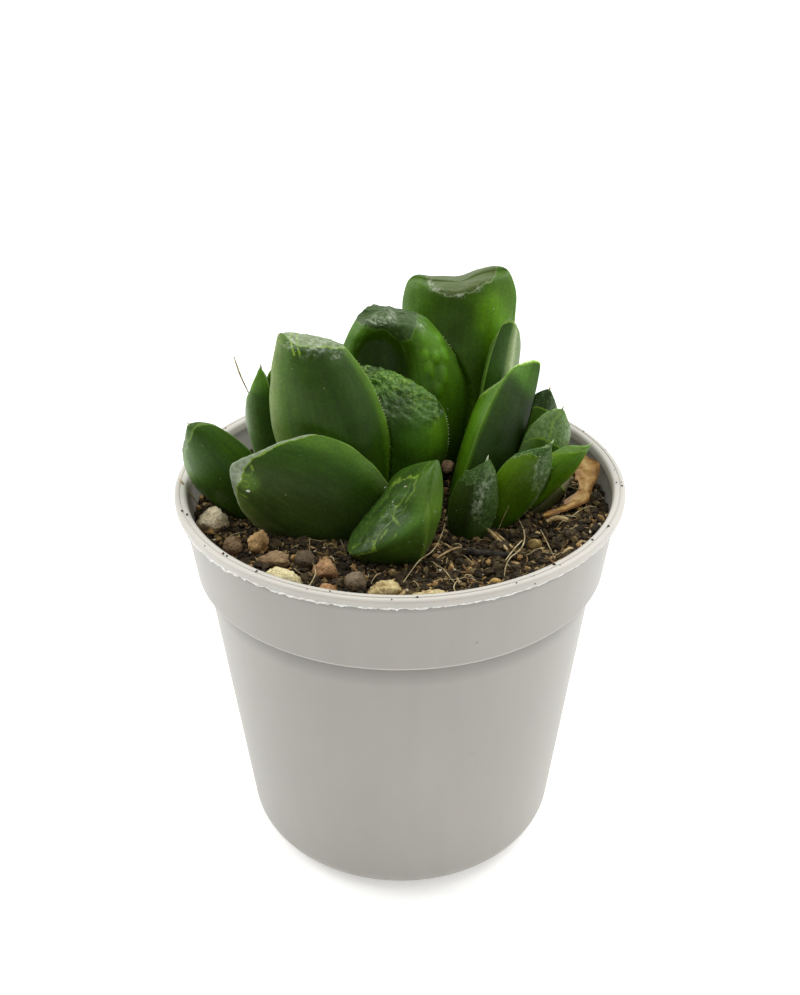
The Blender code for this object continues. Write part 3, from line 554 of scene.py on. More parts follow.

# the pale margin ends of the back ramps are partly painted sheen
MAIN_LOOKS = {
    "leaf_tall_left": Look(
        ((0, "8E9E6A"), (0.05, "6E8448"), (0.14, "4E6A2C"), (0.3, "38521A"),
         (0.7, "263F0A"), (0.93, "2E4A0E"), (1, "5E8230")),
        foot="2A420A", window=("62744A", "8A9A70"), line="8EB03C",
        forms=((-0.2, 15.6, 3.2, 4.2, 0.0, 1, 1.35),),
        drop=((0, -1.4), (0.3, -1.9), (0.5, -1.9), (0.75, -1.2), (0.9, 0), (1, 0.3)),
        ragged=0.35, lumps=0.12, soft=(0.05, 8),
        veins=((0, ((0.85, 30.7), (0.9, 29.2))), (0, ((0.1, 30.3), (0.15, 28.7))),
               (0, ((2.4, 30.9), (1.6, 30.2)))),
        gleams=((0.6, 30.4, 1.6, 0.5, 0.6), (-2.4, 28.9, 1.9, 0.6, 0.6),
                (-4.6, 27.2, 1.0, 0.7, 0.5)), silver="CDD6C2"),
    "leaf_front_left": Look(
        ((0, "8A9468"), (0.07, "5A6A3A"), (0.2, "465A2C"), (0.6, "3A4E22"),
         (0.85, "2E4A12"), (1, "5A7C30")),
        foot="1E260E", foot_share=0.45, window=("7A886C", "A6B298"), line="92B43E",
        drop=((0, 0.8), (0.1, 1.4), (0.34, 2.5), (0.55, 1.9), (0.77, 1.1), (1, 0.9)),
        ragged=0.35, soft=(0.05, 8), forms=((2.2, 22.4, 1.6, 1.6, 0.0, 1, 2.6),
                                            (6.6, 20.6, 1.8, 2.4, 0.0, 1, 1.5)),
        veins=((1, ((3.4, 22.9), (2.9, 22.0), (2.2, 22.4), (2.4, 23.2))),
               (1, ((1.6, 23.6), (1.1, 22.8), (0.3, 22.9), (-0.2, 23.6))),
               (1, ((4.8, 22.4), (4.6, 21.2)))),
        gleams=((2.6, 25.0, 1.8, 0.8, 0.6), (-1.0, 24.6, 1.6, 0.5, 0.4)), silver="C6CEBC"),
    "leaf_centre": Look(
        LEAFY, inner=("304C16", "4A6A24"), window=("2A4410", "40621C"), line="44661E",
        inner_drop=((0, 1.0), (1, 1.0)), ragged=0.8, lumps=0.42, dots=0.1, soft=(0.06, 10),
        forms=((1.4, 20.6, 4.2, 1.5, 0.55, 0, 1.9), (5.8, 18.0, 2.4, 1.7, 0.4, 0, 1.7),
               (1.0, 17.6, 3.6, 1.6, -0.4, 0, 0.8), (4.8, 12.8, 3.0, 3.2, 0.0, 0, 2.1)),
        gleams=((-2.2, 22.6, 1.1, 0.9, 0.8), (-0.9, 21.6, 1.2, 0.7, 0.9),
                (0.9, 20.6, 1.5, 0.6, 0.9), (2.7, 19.6, 1.4, 0.6, 0.9),
                (4.3, 18.6, 1.0, 0.5, 0.8), (4.7, 17.2, 1.1, 0.7, 0.6),
                (6.2, 17.4, 0.8, 1.1, 0.5), (7.0, 15.0, 0.5, 2.0, 0.5)), silver="9CBC58"),
    "leaf_upper": Look(
        LEAFY, inner=("42621C", "4E722A"), window=("32491C", "465E2C"), line="5E7E34",
        inner_drop=((0, 0.2), (0.3, 0.5), (0.38, 1.8), (0.45, 2.4), (0.52, 1.6), (0.58, 0.9),
                    (0.8, 0.9), (1, 0.8)),
        ragged=0.3, lumps=0.2, soft=(0.05, 6),
        forms=((-3.4, 21.1, 4.3, 5.9, -3.2, -1, 0.42), (1.6, 26.2, 1.8, 2.2, 0.6, -1, 1.1),
               (4.2, 24.2, 2.2, 2.6, 0.4, -1, 1.6), (-2.9, 28.6, 2.4, 1.1, 0.4, 0, 1.1),
               (3.2, 20.6, 0.8, 1.2, 0.4, -1, 1.5), (5.4, 19.4, 0.8, 1.5, 0.35, -1, 1.5),
               (4.4, 17.4, 0.7, 1.0, 0.3, -1, 1.4), (6.2, 22.4, 0.8, 1.2, 0.3, -1, 1.5),
               (2.6, 22.8, 0.7, 0.8, 0.3, -1, 1.5), (4.4, 22.2, 0.7, 0.9, 0.3, -1, 1.4),
               (5.8, 25.0, 0.8, 0.8, 0.3, -1, 1.4), (-6.8, 27.4, 1.4, 1.6, 0.3, 0, 1.2)),
        covers=((4.9, 26.6, 2.3, 3.0),),
        veins=((-1, ((-6.9, 24.6), (-5.8, 26.2), (-4.5, 26.9), (-3.2, 27.1), (-2.2, 27.1),
                     (-1.2, 26.5), (-0.4, 25.2), (0.1, 23.6), (0.4, 22.0))),),
        gleams=((-4.2, 28.3, 1.2, 0.4, 1.0), (-2.9, 27.8, 0.9, 0.4, 1.0),
                (-1.7, 28.2, 0.6, 0.5, 1.0), (-1.0, 28.9, 0.3, 0.8, 1.0),
                (2.9, 27.4, 0.6, 0.9, 0.7)), silver="D2DBC4"),
    "leaf_tallest": Look(
        LEAFY, inner=("3E5C17", "4C6E22"), window=("4A5C2C", "58692F"), line="8E9E6E",
        inner_drop=((0, -1.2), (0.14, -0.4), (0.2, 0.3), (0.35, 0.6), (0.6, 0.7),
                    (0.7, 0.2), (0.76, -0.6), (1, -1.2)),
        ragged=0.55, lumps=0.04, soft=(0.05, 8), crest=((-5.6, 2.2, 1.3), (1.5, 2.4, -0.8)),
        covers=((-6.4, 32.6, 2.7, 3.0), (8.9, 33.4, 1.6, 3.0)),
        forms=((0.9, 27.0, 3.4, 4.6, -0.45, -1, 0.6), (6.2, 26.9, 2.3, 4.0, 0.45, -1, 2.1),
               (7.3, 22.6, 0.5, 1.6, -0.35, -1, 0.5), (6.7, 20.4, 0.5, 1.6, -0.35, -1, 0.5),
               (6.1, 18.2, 0.5, 1.6, -0.35, -1, 0.5), (8.9, 22.6, 0.8, 4.6, 0.4, -1, 1.4),
               (0.6, 20.0, 3.5, 5.0, 0.0, -1, 0.8), (-5.5, 29.0, 2.0, 3.6, 0.2, -1, 1.1)),
        gleams=((-2.9, 32.4, 0.5, 0.6, 1.0), (-2.0, 31.6, 0.8, 0.4, 1.0),
                (-0.7, 31.2, 0.8, 0.3, 0.9), (1.6, 31.2, 0.8, 0.35, 0.8),
                (4.4, 31.6, 0.5, 0.5, 0.7)), silver="D2DBC4"),
    "leaf_right": Look(
        ((0, "668838"), (0.014, "4A6C20"), (0.035, "2E4616"), (0.14, "263C12"),
         (0.5, "202E14"), (0.72, "48523C"), (1, "8A8476")),
        foot="1A280C", inner=("44661E", "527826"), glow="668630",
        window=("5A743E", "7A9458"), forms=((0.2, 25.4, 2.4, 3.2, 0.0, 1, 4.2),)),
    "leaf_front": Look(
        ((0, "4E6A2A"), (0.3, "466226"), (0.7, "3E5A20"), (1, "38561C")),
        foot="24280F", foot_share=0.75, window=("344A22", "486A22"), line="7E9E38",
        lumps=0.16, ragged=0.3, drop=((0, -2.4), (0.35, -2.8), (0.7, -2.0), (1, -0.8)),
        soft=(0.12, 40), covers=((3.6, 15.0, 2.7, 4.2),),
        forms=((-3.6, 13.6, 1.3, 3.2, -0.35, 0, 0.65), (-2.6, 9.4, 1.0, 1.6, -0.3, 0, 0.6),
               (-4.4, 8.6, 1.6, 2.6, 0.2, 0, 1.5), (3.0, 16.0, 1.6, 3.6, 0.2, 0, 1.2),
               (1.4, 9.6, 1.2, 1.8, -0.3, 0, 0.7), (2.8, 8.4, 2.0, 1.8, 0.0, 0, 0.75)),
        veins=((0, ((-3.1, 18.3), (-2.2, 17.0), (-0.6, 15.9), (-0.1, 14.4), (-0.1, 13.0),
                    (1.0, 12.5), (2.8, 12.9), (3.8, 12.1), (4.0, 11.6))),
               (0, ((2.1, 11.8), (3.1, 10.6), (2.4, 10.0))),
               (0, ((1.4, 8.5), (1.2, 6.4))),
               (0, ((-4.6, 10.8), (-3.6, 8.8), (-2.2, 7.6), (-1.4, 6.6)))),
        gleams=((3.0, 16.6, 0.6, 2.4, 0.2), (0.0, 12.2, 0.6, 0.8, 0.4),
                (2.0, 9.6, 0.8, 0.8, 0.3)), silver="8CAA50"),
    "leaf_back_right": Look(((0, "2A4212"), (0.22, "34501A"), (0.32, "7A8C58"),
                             (0.4, "A6B28A"), (0.5, "6E8450"), (0.7, "4A662C"),
                             (1, "728A54")), foot="1E300C",
                            inner=("24380E", "4E6A30"), window=("4A6030", "66804A")),
    "leaf_back_left": Look(LEAFY),
}

OFFSET_LOOKS = {
    "offset_right_leaf_1": Look(SPECKLED, dots=0.3, window=("22360F", "3A5424"),
                                drop=((0, 3), (1, 3))),
    "offset_right_leaf_2": Look(
        SPECKLED, dots=0.45, window=("43602A", "82A05E"), drop=((0, 5), (1, 5)),
        veins=((1, ((0.55, 18.2), (1.6, 15.8), (1.5, 13.5))),)),
    "offset_right_leaf_3": Look(((0, "86A044"), (0.1, "5E8230"), (0.5, "4A7018"),
                                 (1, "5E8230")), dots=0.2, drop=((0, 2.0), (1, 0.5)),
                                window=("5E8434", "7A9C4A")),
    "offset_right_leaf_4": Look(
        ((0, "5A7A22"), (0.4, "46640F"), (0.8, "3E601A"), (1, "A6B486")), dots=0.35,
        foot="2E440C", window=("30501A", "4E7030"), line="8CA468", silver="C0CEAC",
        drop=((0, 0.8), (0.35, 2.2), (0.6, 6.5), (1, 8.5)), ragged=0.9,
        veins=((1, ((1.9, 15.8), (0.6, 16.3), (-0.2, 17.0))),),
        gleams=((-0.6, 13.4, 1.6, 2.2, 0.5), (-2.6, 12.4, 0.5, 3.4, 0.7))),
    "offset_right_leaf_5": Look(
        ((0, "36481C"), (0.45, "2A3814"), (0.55, "34481E"), (1, "4A5E36")), dots=0.35,
        window=("30481C", "4A682E"), line="5E7C40", ragged=0.9, silver="CBD6BE",
        drop=((0, 1.0), (0.45, 4.0), (0.6, 9.0), (1, 10.0)),
        veins=((1, ((-1.6, 13.6), (-1.3, 11.6), (-1.2, 9.6))),),
        gleams=((-0.9, 8.8, 0.7, 2.6, 0.9), (-1.9, 10.6, 0.5, 1.6, 0.6))),
    "dying_leaf_tip": Look(((0, "5A5A34"), (0.5, "3A3E22"), (1, "8A7446")), foot="2E2A18",
                           window=("6A6648", "9C9470"), drop=((0, 2.5), (1, 2.5))),
    "offset_left_leaf_1": Look(
        ((0, "6E8A50"), (0.2, "46642A"), (0.7, "2E4A10"), (1, "3E5E16")), foot="3E5210",
        dots=0.15, window=("3E5A22", "567638"), line="7A9A44",
        drop=((0, 2), (0.5, 1.5), (1, 0.4)), gleams=((2.6, 18.4, 1.0, 1.6, 0.3),)),
    "offset_left_leaf_2": Look(((0, "8A9A7A"), (0.4, "5A7440"), (1, "3A5420")),
                               forms=((0.0, 20.0, 3.0, 2.4, 0.0, 1, 1.5),
                                      (-4.4, 20.8, 1.8, 2.6, 0.0, 1, 2.6))),
    "offset_left_leaf_3": Look(((0, "5E7A44"), (0.5, "446028"), (1, "30480F"))),
}
LOOKS = {**MAIN_LOOKS, **OFFSET_LOOKS}
print("looks:", len(LOOKS))


# %% [markdown]
# A leaf starts as a sphere with its poles up and down. Each vertex is moved to its place
# and notes where it is: how far across, whether on the back or the inner face, how far up,
# how far above the window's line and how far from a drawn vein, how much painted shade or
# painted highlight the forms put on it, and how strongly a painted glint lies on it. The
# material reads these notes as attributes, so its pattern follows the leaf however it leans.

# %% Leaf helpers
FAR = 9.0
WINDOW_RISE = 0.35
COVER_DEPTH = 6.0
STEEP, SOFT, STEEP_FROM = 4, 2, -0.5
NOTES = ("across", "facing", "share", "rim", "vein", "painted_light", "gleam")


def between(stops, place):
    """The value at a place on a broken line of (place, value) stops."""
    for (x0, y0), (x1, y1) in zip(stops, stops[1:]):
        if place <= x1:
            return y0 + (y1 - y0) * (place - x0) / (x1 - x0)
    return stops[-1][1]


def line_distance(side, up, points):
    """Distance from a place on the leaf to a broken line, in mm."""
    best = FAR
    for (x0, y0), (x1, y1) in zip(points, points[1:]):
        run_x, run_y = x1 - x0, y1 - y0
        along = ((side - x0) * run_x + (up - y0) * run_y) / (run_x ** 2 + run_y ** 2)
        along = max(0, min(1, along))
        best = min(best, math.hypot(side - x0 - along * run_x, up - y0 - along * run_y))
    return best


def spread(side, up, patch):
    """How far a place is from the middle of an oval patch: 1 on its edge, squared."""
    at_side, at_up, wide, high = patch
    return ((side - at_side) / wide) ** 2 + ((up - at_up) / high) ** 2


# %% [markdown]
# The rings of the wall end at the cut edge, and those of the window close from there to
# its middle, which bulges a little.

# %% Place on a leaf
def leaf_place(spec, styling, angle, rings):
    """A point of the dressed leaf in its own axes, and its notes for the material."""
    edge = edge_share(spec, angle)
    wall = min(rings / WALL_RINGS, 1)
    share = wall * edge
    close = math.sqrt(1 - (1 - min(wall / FOOT_ROUND, 1)) ** 2)
    place = wall_point(spec, angle, share, close)
    closing = max(0, (rings - WALL_RINGS) / (1 - WALL_RINGS))
    rim = -(1 - wall) * edge * spec.length
    across, facing = math.cos(angle), math.sin(angle)
    if closing:
        rim = closing * spec.width / 4
        place = place.lerp(window_middle(spec), closing)
        place.z += WINDOW_RISE * (1 - (1 - closing) ** 2)
        across *= 1 - closing
        facing *= 1 - closing
    on = 1 if facing >= 0 else -1
    drops = styling.drop if on == 1 else styling.inner_drop
    rim += between(drops, (1 - across) / 2) * (1 - closing)
    side, up = place.x, place.z
    vein, painted_light, gleam = FAR, 1.0, 0.0
    for face, points in styling.veins:
        if face in (on, 0):
            vein = min(vein, line_distance(side, up, points))
    # a form's tone is painted light: shade below 1, a highlight above 1
    for *patch, rise, face, tone in styling.forms:
        if face in (on, 0):
            fall = math.exp(-spread(side, up, patch) ** (STEEP if rise < STEEP_FROM else SOFT))
            lid = min(1, closing * 4)
            place.y += on * rise * fall * min(1, abs(facing) * 2) * (1 - lid)
            place.z += rise * fall * lid
            painted_light *= 1 + (tone - 1) * fall
    for at_side, wide, rise in styling.crest:
        place.z += rise * math.exp(-((side - at_side) / wide) ** 2) * max(0, 4 * wall - 3)
    for patch in styling.covers:
        rim -= COVER_DEPTH * math.exp(-spread(side, up, patch) ** SOFT)
    # painted glints: how strongly a silvery painted highlight lies here
    for *patch, strength in styling.gleams:
        gleam = max(gleam, strength * math.exp(-spread(side, up, patch)))
    return place, dict(zip(NOTES, (across, facing, share, rim, vein, painted_light, gleam)))


def in_pot(spec, axes, place):
    """A place in the leaf's own axes as a place in the pot."""
    left, back, up = axes
    return Vector(spec.foot) + left * place.x + back * place.y + up * place.z


# %% [markdown]
# Every vertex of the sphere is sent to its place. Then the cut edge is smoothed, and slow
# swells and the lumps of the window are pushed out along the normals.

# %% Grow a leaf
SWELL_SCALE, SWELL_RISE = 0.35, 0.12
LUMP_SCALE, FINE_LUMP_SCALE = 1.1, 3.1
LUMPS_FROM = -0.4


def grow_leaf(spec, styling, facets):
    """The leaf's bmesh in mm, before its neighbours press on it."""
    bm = bmesh.new()
    bmesh.ops.create_uvsphere(bm, u_segments=facets[0], v_segments=facets[1], radius=1)
    layers = {key: bm.verts.layers.float.new(key) for key in NOTES}
    axes = leaf_axes(spec)
    edge = []
    for vert in bm.verts:
        rings = math.acos(max(-1, min(1, -vert.co.z))) / math.pi
        angle = math.atan2(vert.co.y, vert.co.x)
        place, notes = leaf_place(spec, styling, angle, rings)
        vert.co = in_pot(spec, axes, place)
        for key, layer in layers.items():
            vert[layer] = notes[key]
        if abs(rings - WALL_RINGS) < styling.soft[0]:
            edge.append(vert)
    for _ in range(styling.soft[1]):
        bmesh.ops.smooth_vert(bm, verts=edge, factor=0.5, use_axis_x=True,
                              use_axis_y=True, use_axis_z=True)
    bm.normal_update()
    for vert in bm.verts:
        swollen = noise.noise(vert.co * SWELL_SCALE) * SWELL_RISE
        above = vert[layers["rim"]] - LUMPS_FROM
        if above > 0:
            lump = noise.noise(vert.co * LUMP_SCALE)
            lump += 0.5 * noise.noise(vert.co * FINE_LUMP_SCALE)
            swollen += min(1, above) * styling.lumps * lump
        vert.co += vert.normal * swollen
    return bm


# %% [markdown]
# Young leaves are soft, and a neighbour leaves its shape in them. So each vertex is looked
# at from the core of its own leaf: where the line to it first meets a neighbour that presses
# there, the vertex stops just short of that neighbour.

# %% Press neighbours
PRESS_GAP = 0.12
CORE_TOP = 0.93
LEAST, TOO_NEAR = 0.05, 0.01


def core_point(spec, share):
    """The middle of the leaf's section at a share of its length."""
    shift = spec.length * share ** 2
    back, inner = depths(spec, share)
    return Vector((spec.sway * shift, spec.bow * shift + (back - inner) / 2,
                   min(share, CORE_TOP) * spec.length))


def press(bm, spec, trees):
    """Stops each vertex short of the neighbours that press on the leaf."""
    axes = leaf_axes(spec)
    share_note = bm.verts.layers.float["share"]
    moved = 0
    for vert in bm.verts:
        start = in_pot(spec, axes, core_point(spec, vert[share_note]))
        way = vert.co - start
        reach = way.length
        if reach < TOO_NEAR:
            continue
        way.normalize()
        for tree in trees:
            spot, normal, _, far = tree.ray_cast(start, way, reach + PRESS_GAP)
            if spot is not None and normal.dot(way) < 0:
                reach = max(far - PRESS_GAP, LEAST)
                vert.co = start + way * reach
                moved += 1
    return moved


# %% [markdown]
# Leaf skin is a thin waxy layer over watery green tissue. From a step away it is a deep
# green with a soft sheen, lighter where light leaks through the thin margins, which is a
# painted glow, and darker towards the foot. The window has no green layer under the skin, so
# it looks grey and glassy, with the pale veins between its clear cells showing. Light goes a
# little way into all of it, which a small subsurface share gives.

# %% Leaf flesh
def leaf_flesh(add, note, spot, styling):
    """The green of both faces from margin to margin, darker at the foot; and its pores."""
    across = add("MapRange", note["across"], 1.0, -1.0)
    back = add("ValToRGB", across, stops=styling.back)
    deep, pale = styling.inner
    inner = add("ValToRGB", across, stops=((0, pale), (0.25, deep), (0.75, deep), (1, pale)))
    side = add("MapRange", note["facing"], -0.15, 0.15, **SMOOTH)
    flesh = add("Mix", side, inner, back, **COLOUR)
    low = add("MapRange", note["share"], styling.foot_share, 0.05, 0, 0.85, **SMOOTH)
    rooted = add("Mix", low, flesh, styling.foot, **COLOUR)
    # upright cell rows about 1 mm wide, cloudy patches of 2 to 3 mm, and a mottle of about
    # 0.3 mm from the cells under the skin
    rows_at = add("CombineXYZ", note["across"], note["share"])
    rows = add("TexNoise", add("Mapping", rows_at, Scale=(12, 2.4, 1)), 1, 2)
    both = add("Math", rows, add("TexNoise", spot, 420, 4), operation="ADD")
    cloudy = add("MapRange", both, 0.7, 1.3, 0.84, 1.17)
    pores = add("TexNoise", spot, 2600, 3, 0.6)
    mottle = add("MapRange", pores, 0.35, 0.65, 0.86, 1.14)
    mottled = add("Math", cloudy, mottle, operation="MULTIPLY")
    # the forms' painted shade and highlights scale the value of the green
    with_painted_light = add("Math", mottled, note["painted_light"], operation="MULTIPLY")
    toned = add("HueSaturation", Value=with_painted_light, Saturation=1.1, Color=rooted)
    # light leaks through the thin margins
    thin = add("Math", note["across"], operation="ABSOLUTE")
    margin = add("MapRange", thin, 0.98, 0.999, 0, 0.75, **SMOOTH)
    return add("Mix", margin, toned, styling.glow, **COLOUR), pores


# %% [markdown]
# The window starts at a ragged line. Its tissue is streaked and glassy, and a yellow-green
# line runs along its edge and along the drawn veins.

# %% Leaf window
def leaf_window(add, note, spot, styling, flesh):
    """The glassy window over the flesh, with its line; and where it is, and its streaks."""
    # the window's ragged line, torn at 1.2 mm and frayed at 0.3 mm
    tear = add("TexNoise", spot, 800, 3, 0.6)
    torn = add("MapRange", tear, 0.3, 0.7, -styling.ragged, styling.ragged)
    above = add("Math", note["rim"], torn, operation="ADD")
    pane = add("MapRange", above, 0.0, 0.16, **SMOOTH)
    streak = add("TexNoise", spot, 1500, 5, 0.7, Distortion=0.6)
    glass = add("ValToRGB", streak, stops=((0.32, styling.window[0]), (0.7, styling.window[1])))
    # the same painted shade and highlights lie over the window
    with_painted_light = add("HueSaturation", Value=note["painted_light"], Color=glass)
    windowed = add("Mix", pane, flesh, with_painted_light, **COLOUR)
    # the yellow-green line along the window, about 0.25 mm wide, and drawn veins
    off = add("Math", above, operation="ABSOLUTE")
    fray = add("Math", add("MapRange", tear, 0.3, 0.7, -0.12, 0.12), 0.06, operation="ADD")
    vein = add("Math", note["vein"], fray, operation="ADD")
    nearest = add("Math", off, vein, operation="MINIMUM")
    line = add("MapRange", nearest, 0.25, 0.05, 0, 0.7, **SMOOTH)
    return add("Mix", line, windowed, styling.line, **COLOUR), pane, streak


# %% [markdown]
# Clear cells show as pale dots and minerals as specks; silvery glints on the ripples of the
# window are painted highlights.

# %% Leaf specks
def leaf_specks(add, note, spot, styling, lined, pane, streak):
    """The pale marks that lie over the flesh and the window, and the painted glints."""
    # pale dots of the clear cells, 0.4 mm apart, and a few mineral specks
    dot = add("MapRange", add("TexVoronoi", spot, 2200), 0.36, 0.14, 0, styling.dots)
    in_pane = add("Math", dot, pane, operation="MULTIPLY")
    dotted = add("Mix", in_pane, lined, "93AC7C", **COLOUR)
    grit = add("TexVoronoi", spot, 420)
    size = add("MapRange", add("SeparateColor", grit.node.outputs["Color"]), 0.86, 1, 0, 0.055)
    speck = add("Math", grit, size, operation="LESS_THAN")
    dusted = add("Mix", speck, dotted, "B9C4AE", **COLOUR)
    # painted highlights: silvery glints painted on the window's ripples of about 0.7 mm
    silver = add("Math", add("MapRange", streak, 0.46, 0.66), note["gleam"],
                 operation="MULTIPLY")
    return add("Mix", silver, dusted, styling.silver, **COLOUR)


# %% [markdown]
# The layers are put together in one material. The window and the painted glints are
# glossier and more rippled than the flesh.

# %% Leaf skin
def leaf_skin(name, styling):
    """The waxy skin of one leaf, from its look and the notes in its mesh."""
    skin, shader, add, spot = new_skin(
        name, 0.36, Subsurface_Weight=0.12, Subsurface_Scale=0.0012,
        Subsurface_Radius=(0.6, 1.0, 0.3), Specular_IOR_Level=0.22)
    note = {key: add("Attribute", attribute_name=key, out="Fac") for key in NOTES}
    flesh, pores = leaf_flesh(add, note, spot, styling)
    lined, pane, streak = leaf_window(add, note, spot, styling, flesh)
    done = leaf_specks(add, note, spot, styling, lined, pane, streak)
    pane_share = add("Math", pane, 0.2, operation="MULTIPLY")
    glassy = add("Math", pane_share, note["gleam"], operation="MAXIMUM")
    gloss = add("MapRange", glassy, 0, 1, 0.4, 0.26)
    ripples = add("Bump", glassy, 0.00022, Height=streak)
    skin_bump = add("Bump", 0.4, 0.00012, Height=pores, Normal=ripples)
    dress(shader, Base_Color=done, Roughness=gloss, Normal=skin_bump)
    return skin


# %% [markdown]
# All leaves are grown before any is pressed, and a part of their vertices is noted for the
# dust that lies on them.

# %% Leaves
MAIN_FACETS = (160, 112)
SMALL_FACETS = (96, 72)
DUSTED = {"leaf_front_left": 60, "leaf_tall_left": 30, "leaf_front": 40, "leaf_right": 20,
          "offset_right_leaf_5": 20, "offset_right_leaf_4": 20, "offset_left_leaf_1": 20}

grown = {name: grow_leaf(spec, LOOKS[name], MAIN_FACETS if name in MAIN_LEAVES
                         else SMALL_FACETS) for name, spec in LEAVES.items()}
leaf_trees = {name: BVHTree.FromBMesh(bm) for name, bm in grown.items()}
for name, spec in LEAVES.items():
    if spec.pressed_by:
        print(name, "pressed:", press(grown[name], spec,
                                      [leaf_trees[other] for other in spec.pressed_by]))
rng = random.Random(5)
dust_spots = [vert.co.copy() for name, count in DUSTED.items()
              for vert in rng.sample(grown[name].verts[:], count)]
for name, bm in grown.items():
    finish_piece(name + "_skin", bm, leaf_skin("waxy_skin_" + name, LOOKS[name]),
                 [name])

# %% [markdown]
# Nursery soil for these plants is peat and coir with sharp grit. The fill is one body, and
# its top gets two sizes of crumble. Loose crumbs, grit in several colours and thin fibres
# are then strewn over it. Each kind is one piece, because thousands of objects would slow
# everything down, and a crumb needs only twenty faces.

# %% Soil fill
SOIL_TOP = 53.3
SOIL_ROUGH = 0.45
SLOW_SCALE, FINE_SCALE = 0.09, 0.45
# scale, height in mm and level of the noise that crumbles the soil
CRUMBLE = ((1.1, 0.35, 1.3), (2.6, 0.25, 4.1))
BANK_FROM, BANK_HIGH, BANK_SIDE = 22.0, 3.0, math.radians(-32)
GAP = 0.3
SOIL_RINGS = 80


def soil_height(x, y):
    """The rough top of the soil, as in the solid."""
    slow = noise.noise(Vector((x * SLOW_SCALE, y * SLOW_SCALE, 3.1)))
    fine = noise.noise(Vector((x * FINE_SCALE, y * FINE_SCALE, 7.7)))
    return SOIL_TOP + SOIL_ROUGH * (slow + 0.8 * fine)


def crumble(x, y):
    """The finer crumble that the dressed soil adds, in mm, with its bank at the right."""
    out = max(0.0, min(1.0, (math.hypot(x, y) - BANK_FROM) / (SOIL_R - BANK_FROM)))
    turned_by = math.cos(math.atan2(y, x) - BANK_SIDE)
    raised = BANK_HIGH * out * out * (3 - 2 * out) * max(0.0, turned_by) ** 4
    for scale, high, level in CRUMBLE:
        raised += high * noise.noise(Vector((x * scale, y * scale, level)))
    return raised


share = (SOIL_TOP - BAND_LOW) / (RIM_LOW - BAND_LOW)
SOIL_R = BAND_LOW_R + (BAND_TOP_R - BAND_LOW_R) * share - WALL - GAP / 2
low = FLOOR_TOP + GAP
profile = [(0, low), (WALL_LOW_R - WALL - 3.1, low), (WALL_LOW_R - WALL - GAP, low + 2.9),
           (WALL_TOP_R - WALL - 0.4, BAND_LOW - 0.6), (BAND_LOW_R - WALL - 0.35, BAND_LOW + 0.9),
           (SOIL_R, SOIL_TOP - 1.0)]
profile += [(SOIL_R * (1 - i / SOIL_RINGS), SOIL_TOP) for i in range(SOIL_RINGS)]
profile.append((0, SOIL_TOP))
fill = turned(profile, 200)
for vert in fill.verts:
    if vert.co.z > SOIL_TOP - 0.1:
        vert.co.z = soil_height(vert.co.x, vert.co.y) + crumble(vert.co.x, vert.co.y)

peat, shader, add, place = new_skin("moist_peat", 0.92, Specular_IOR_Level=0.25)
crumbs = add("TexNoise", place, 1400, 6, 0.75)
both = add("Math", crumbs, add("TexNoise", place, 160, 3), operation="ADD")
tint = add("ValToRGB", add("Math", both, 0.5, operation="MULTIPLY"),
           stops=((0.34, "1A1610"), (0.5, "382D20"), (0.66, "6E5C3E")))
dress(shader, Base_Color=tint, Normal=add("Bump", 0.9, 0.0004, Height=crumbs))
finish_piece("soil_fill", fill, peat, ["soil"])

# %% [markdown]
# The loose stones are pumice, fired clay and river grit. They start as fine spheres, get
# slow lumps that match the solids and then quick pits, and keep the size and turn of the
# solid that they stand for.

# %% Stones
Stone = namedtuple("Stone", "at size turn colour")
STONES = {
    "pumice_white": Stone((-26.9, -4.8), (5.0, 3.8, 4.2), 10, "FFF0CC"),
    "pumice_yellow": Stone((-15.6, -20.2), (5.6, 3.2, 3.2), -20, "EEE2B0"),
    "pebble_brown": Stone((-23.3, -11.8), (2.8, 2.8, 3.2), 0, "8E7658"),
    "stone_tan": Stone((-19.8, -11.2), (3.6, 2.8, 4.4), 35, "CCA874"),
    "stone_brown_wide": Stone((-17.2, -15.2), (4.6, 3.0, 3.0), -15, "A08664"),
    "clod_dark": Stone((-13.0, -15.4), (2.8, 2.8, 2.8), 0, "6A5C48"),
    "stone_orange": Stone((-10.2, -18.4), (3.8, 2.8, 3.4), -10, "BC946A"),
    "stone_orange_small": Stone((-9.8, -22.6), (3.6, 2.4, 2.2), -5, "D2A674"),
    "pebble_dark": Stone((-6.0, -20.8), (2.9, 2.8, 3.2), 0, "8C7C64"),
    "stone_yellow_tan": Stone((-1.9, -22.4), (4.9, 3.6, 3.0), -8, "E4D098"),
    "stone_cream": Stone((4.0, -24.2), (5.4, 2.6, 2.2), 8, "EEDCA8"),
    "chip_yellow": Stone((12.6, -21.2), (1.8, 1.5, 1.8), 20, "E8BE72"),
    "pebble_olive": Stone((18.8, -10.9), (2.1, 1.8, 1.8), 0, "B8A268"),
    "pebble_ball": Stone((7.0, 2.2), (1.9, 1.9, 1.9), 0, "A8886A"),
}
BALL_Z = 59.1
FLATS, FLAT_AT = 16, (0.72, 0.9)
SMALLEST_ANGULAR = 3.0
STONE_SUNK = 0.32
STAINED = (0.62, 0.55, 0.44)
DARK_FOOT_FROM, DARK_FOOT_FULL = 55.2, 53.2
# scale and height of a stone's slow lumps, quick pits and grain
STONE_NOISE = ((3.1, 0.16), (11, 0.09), (27, 0.045))


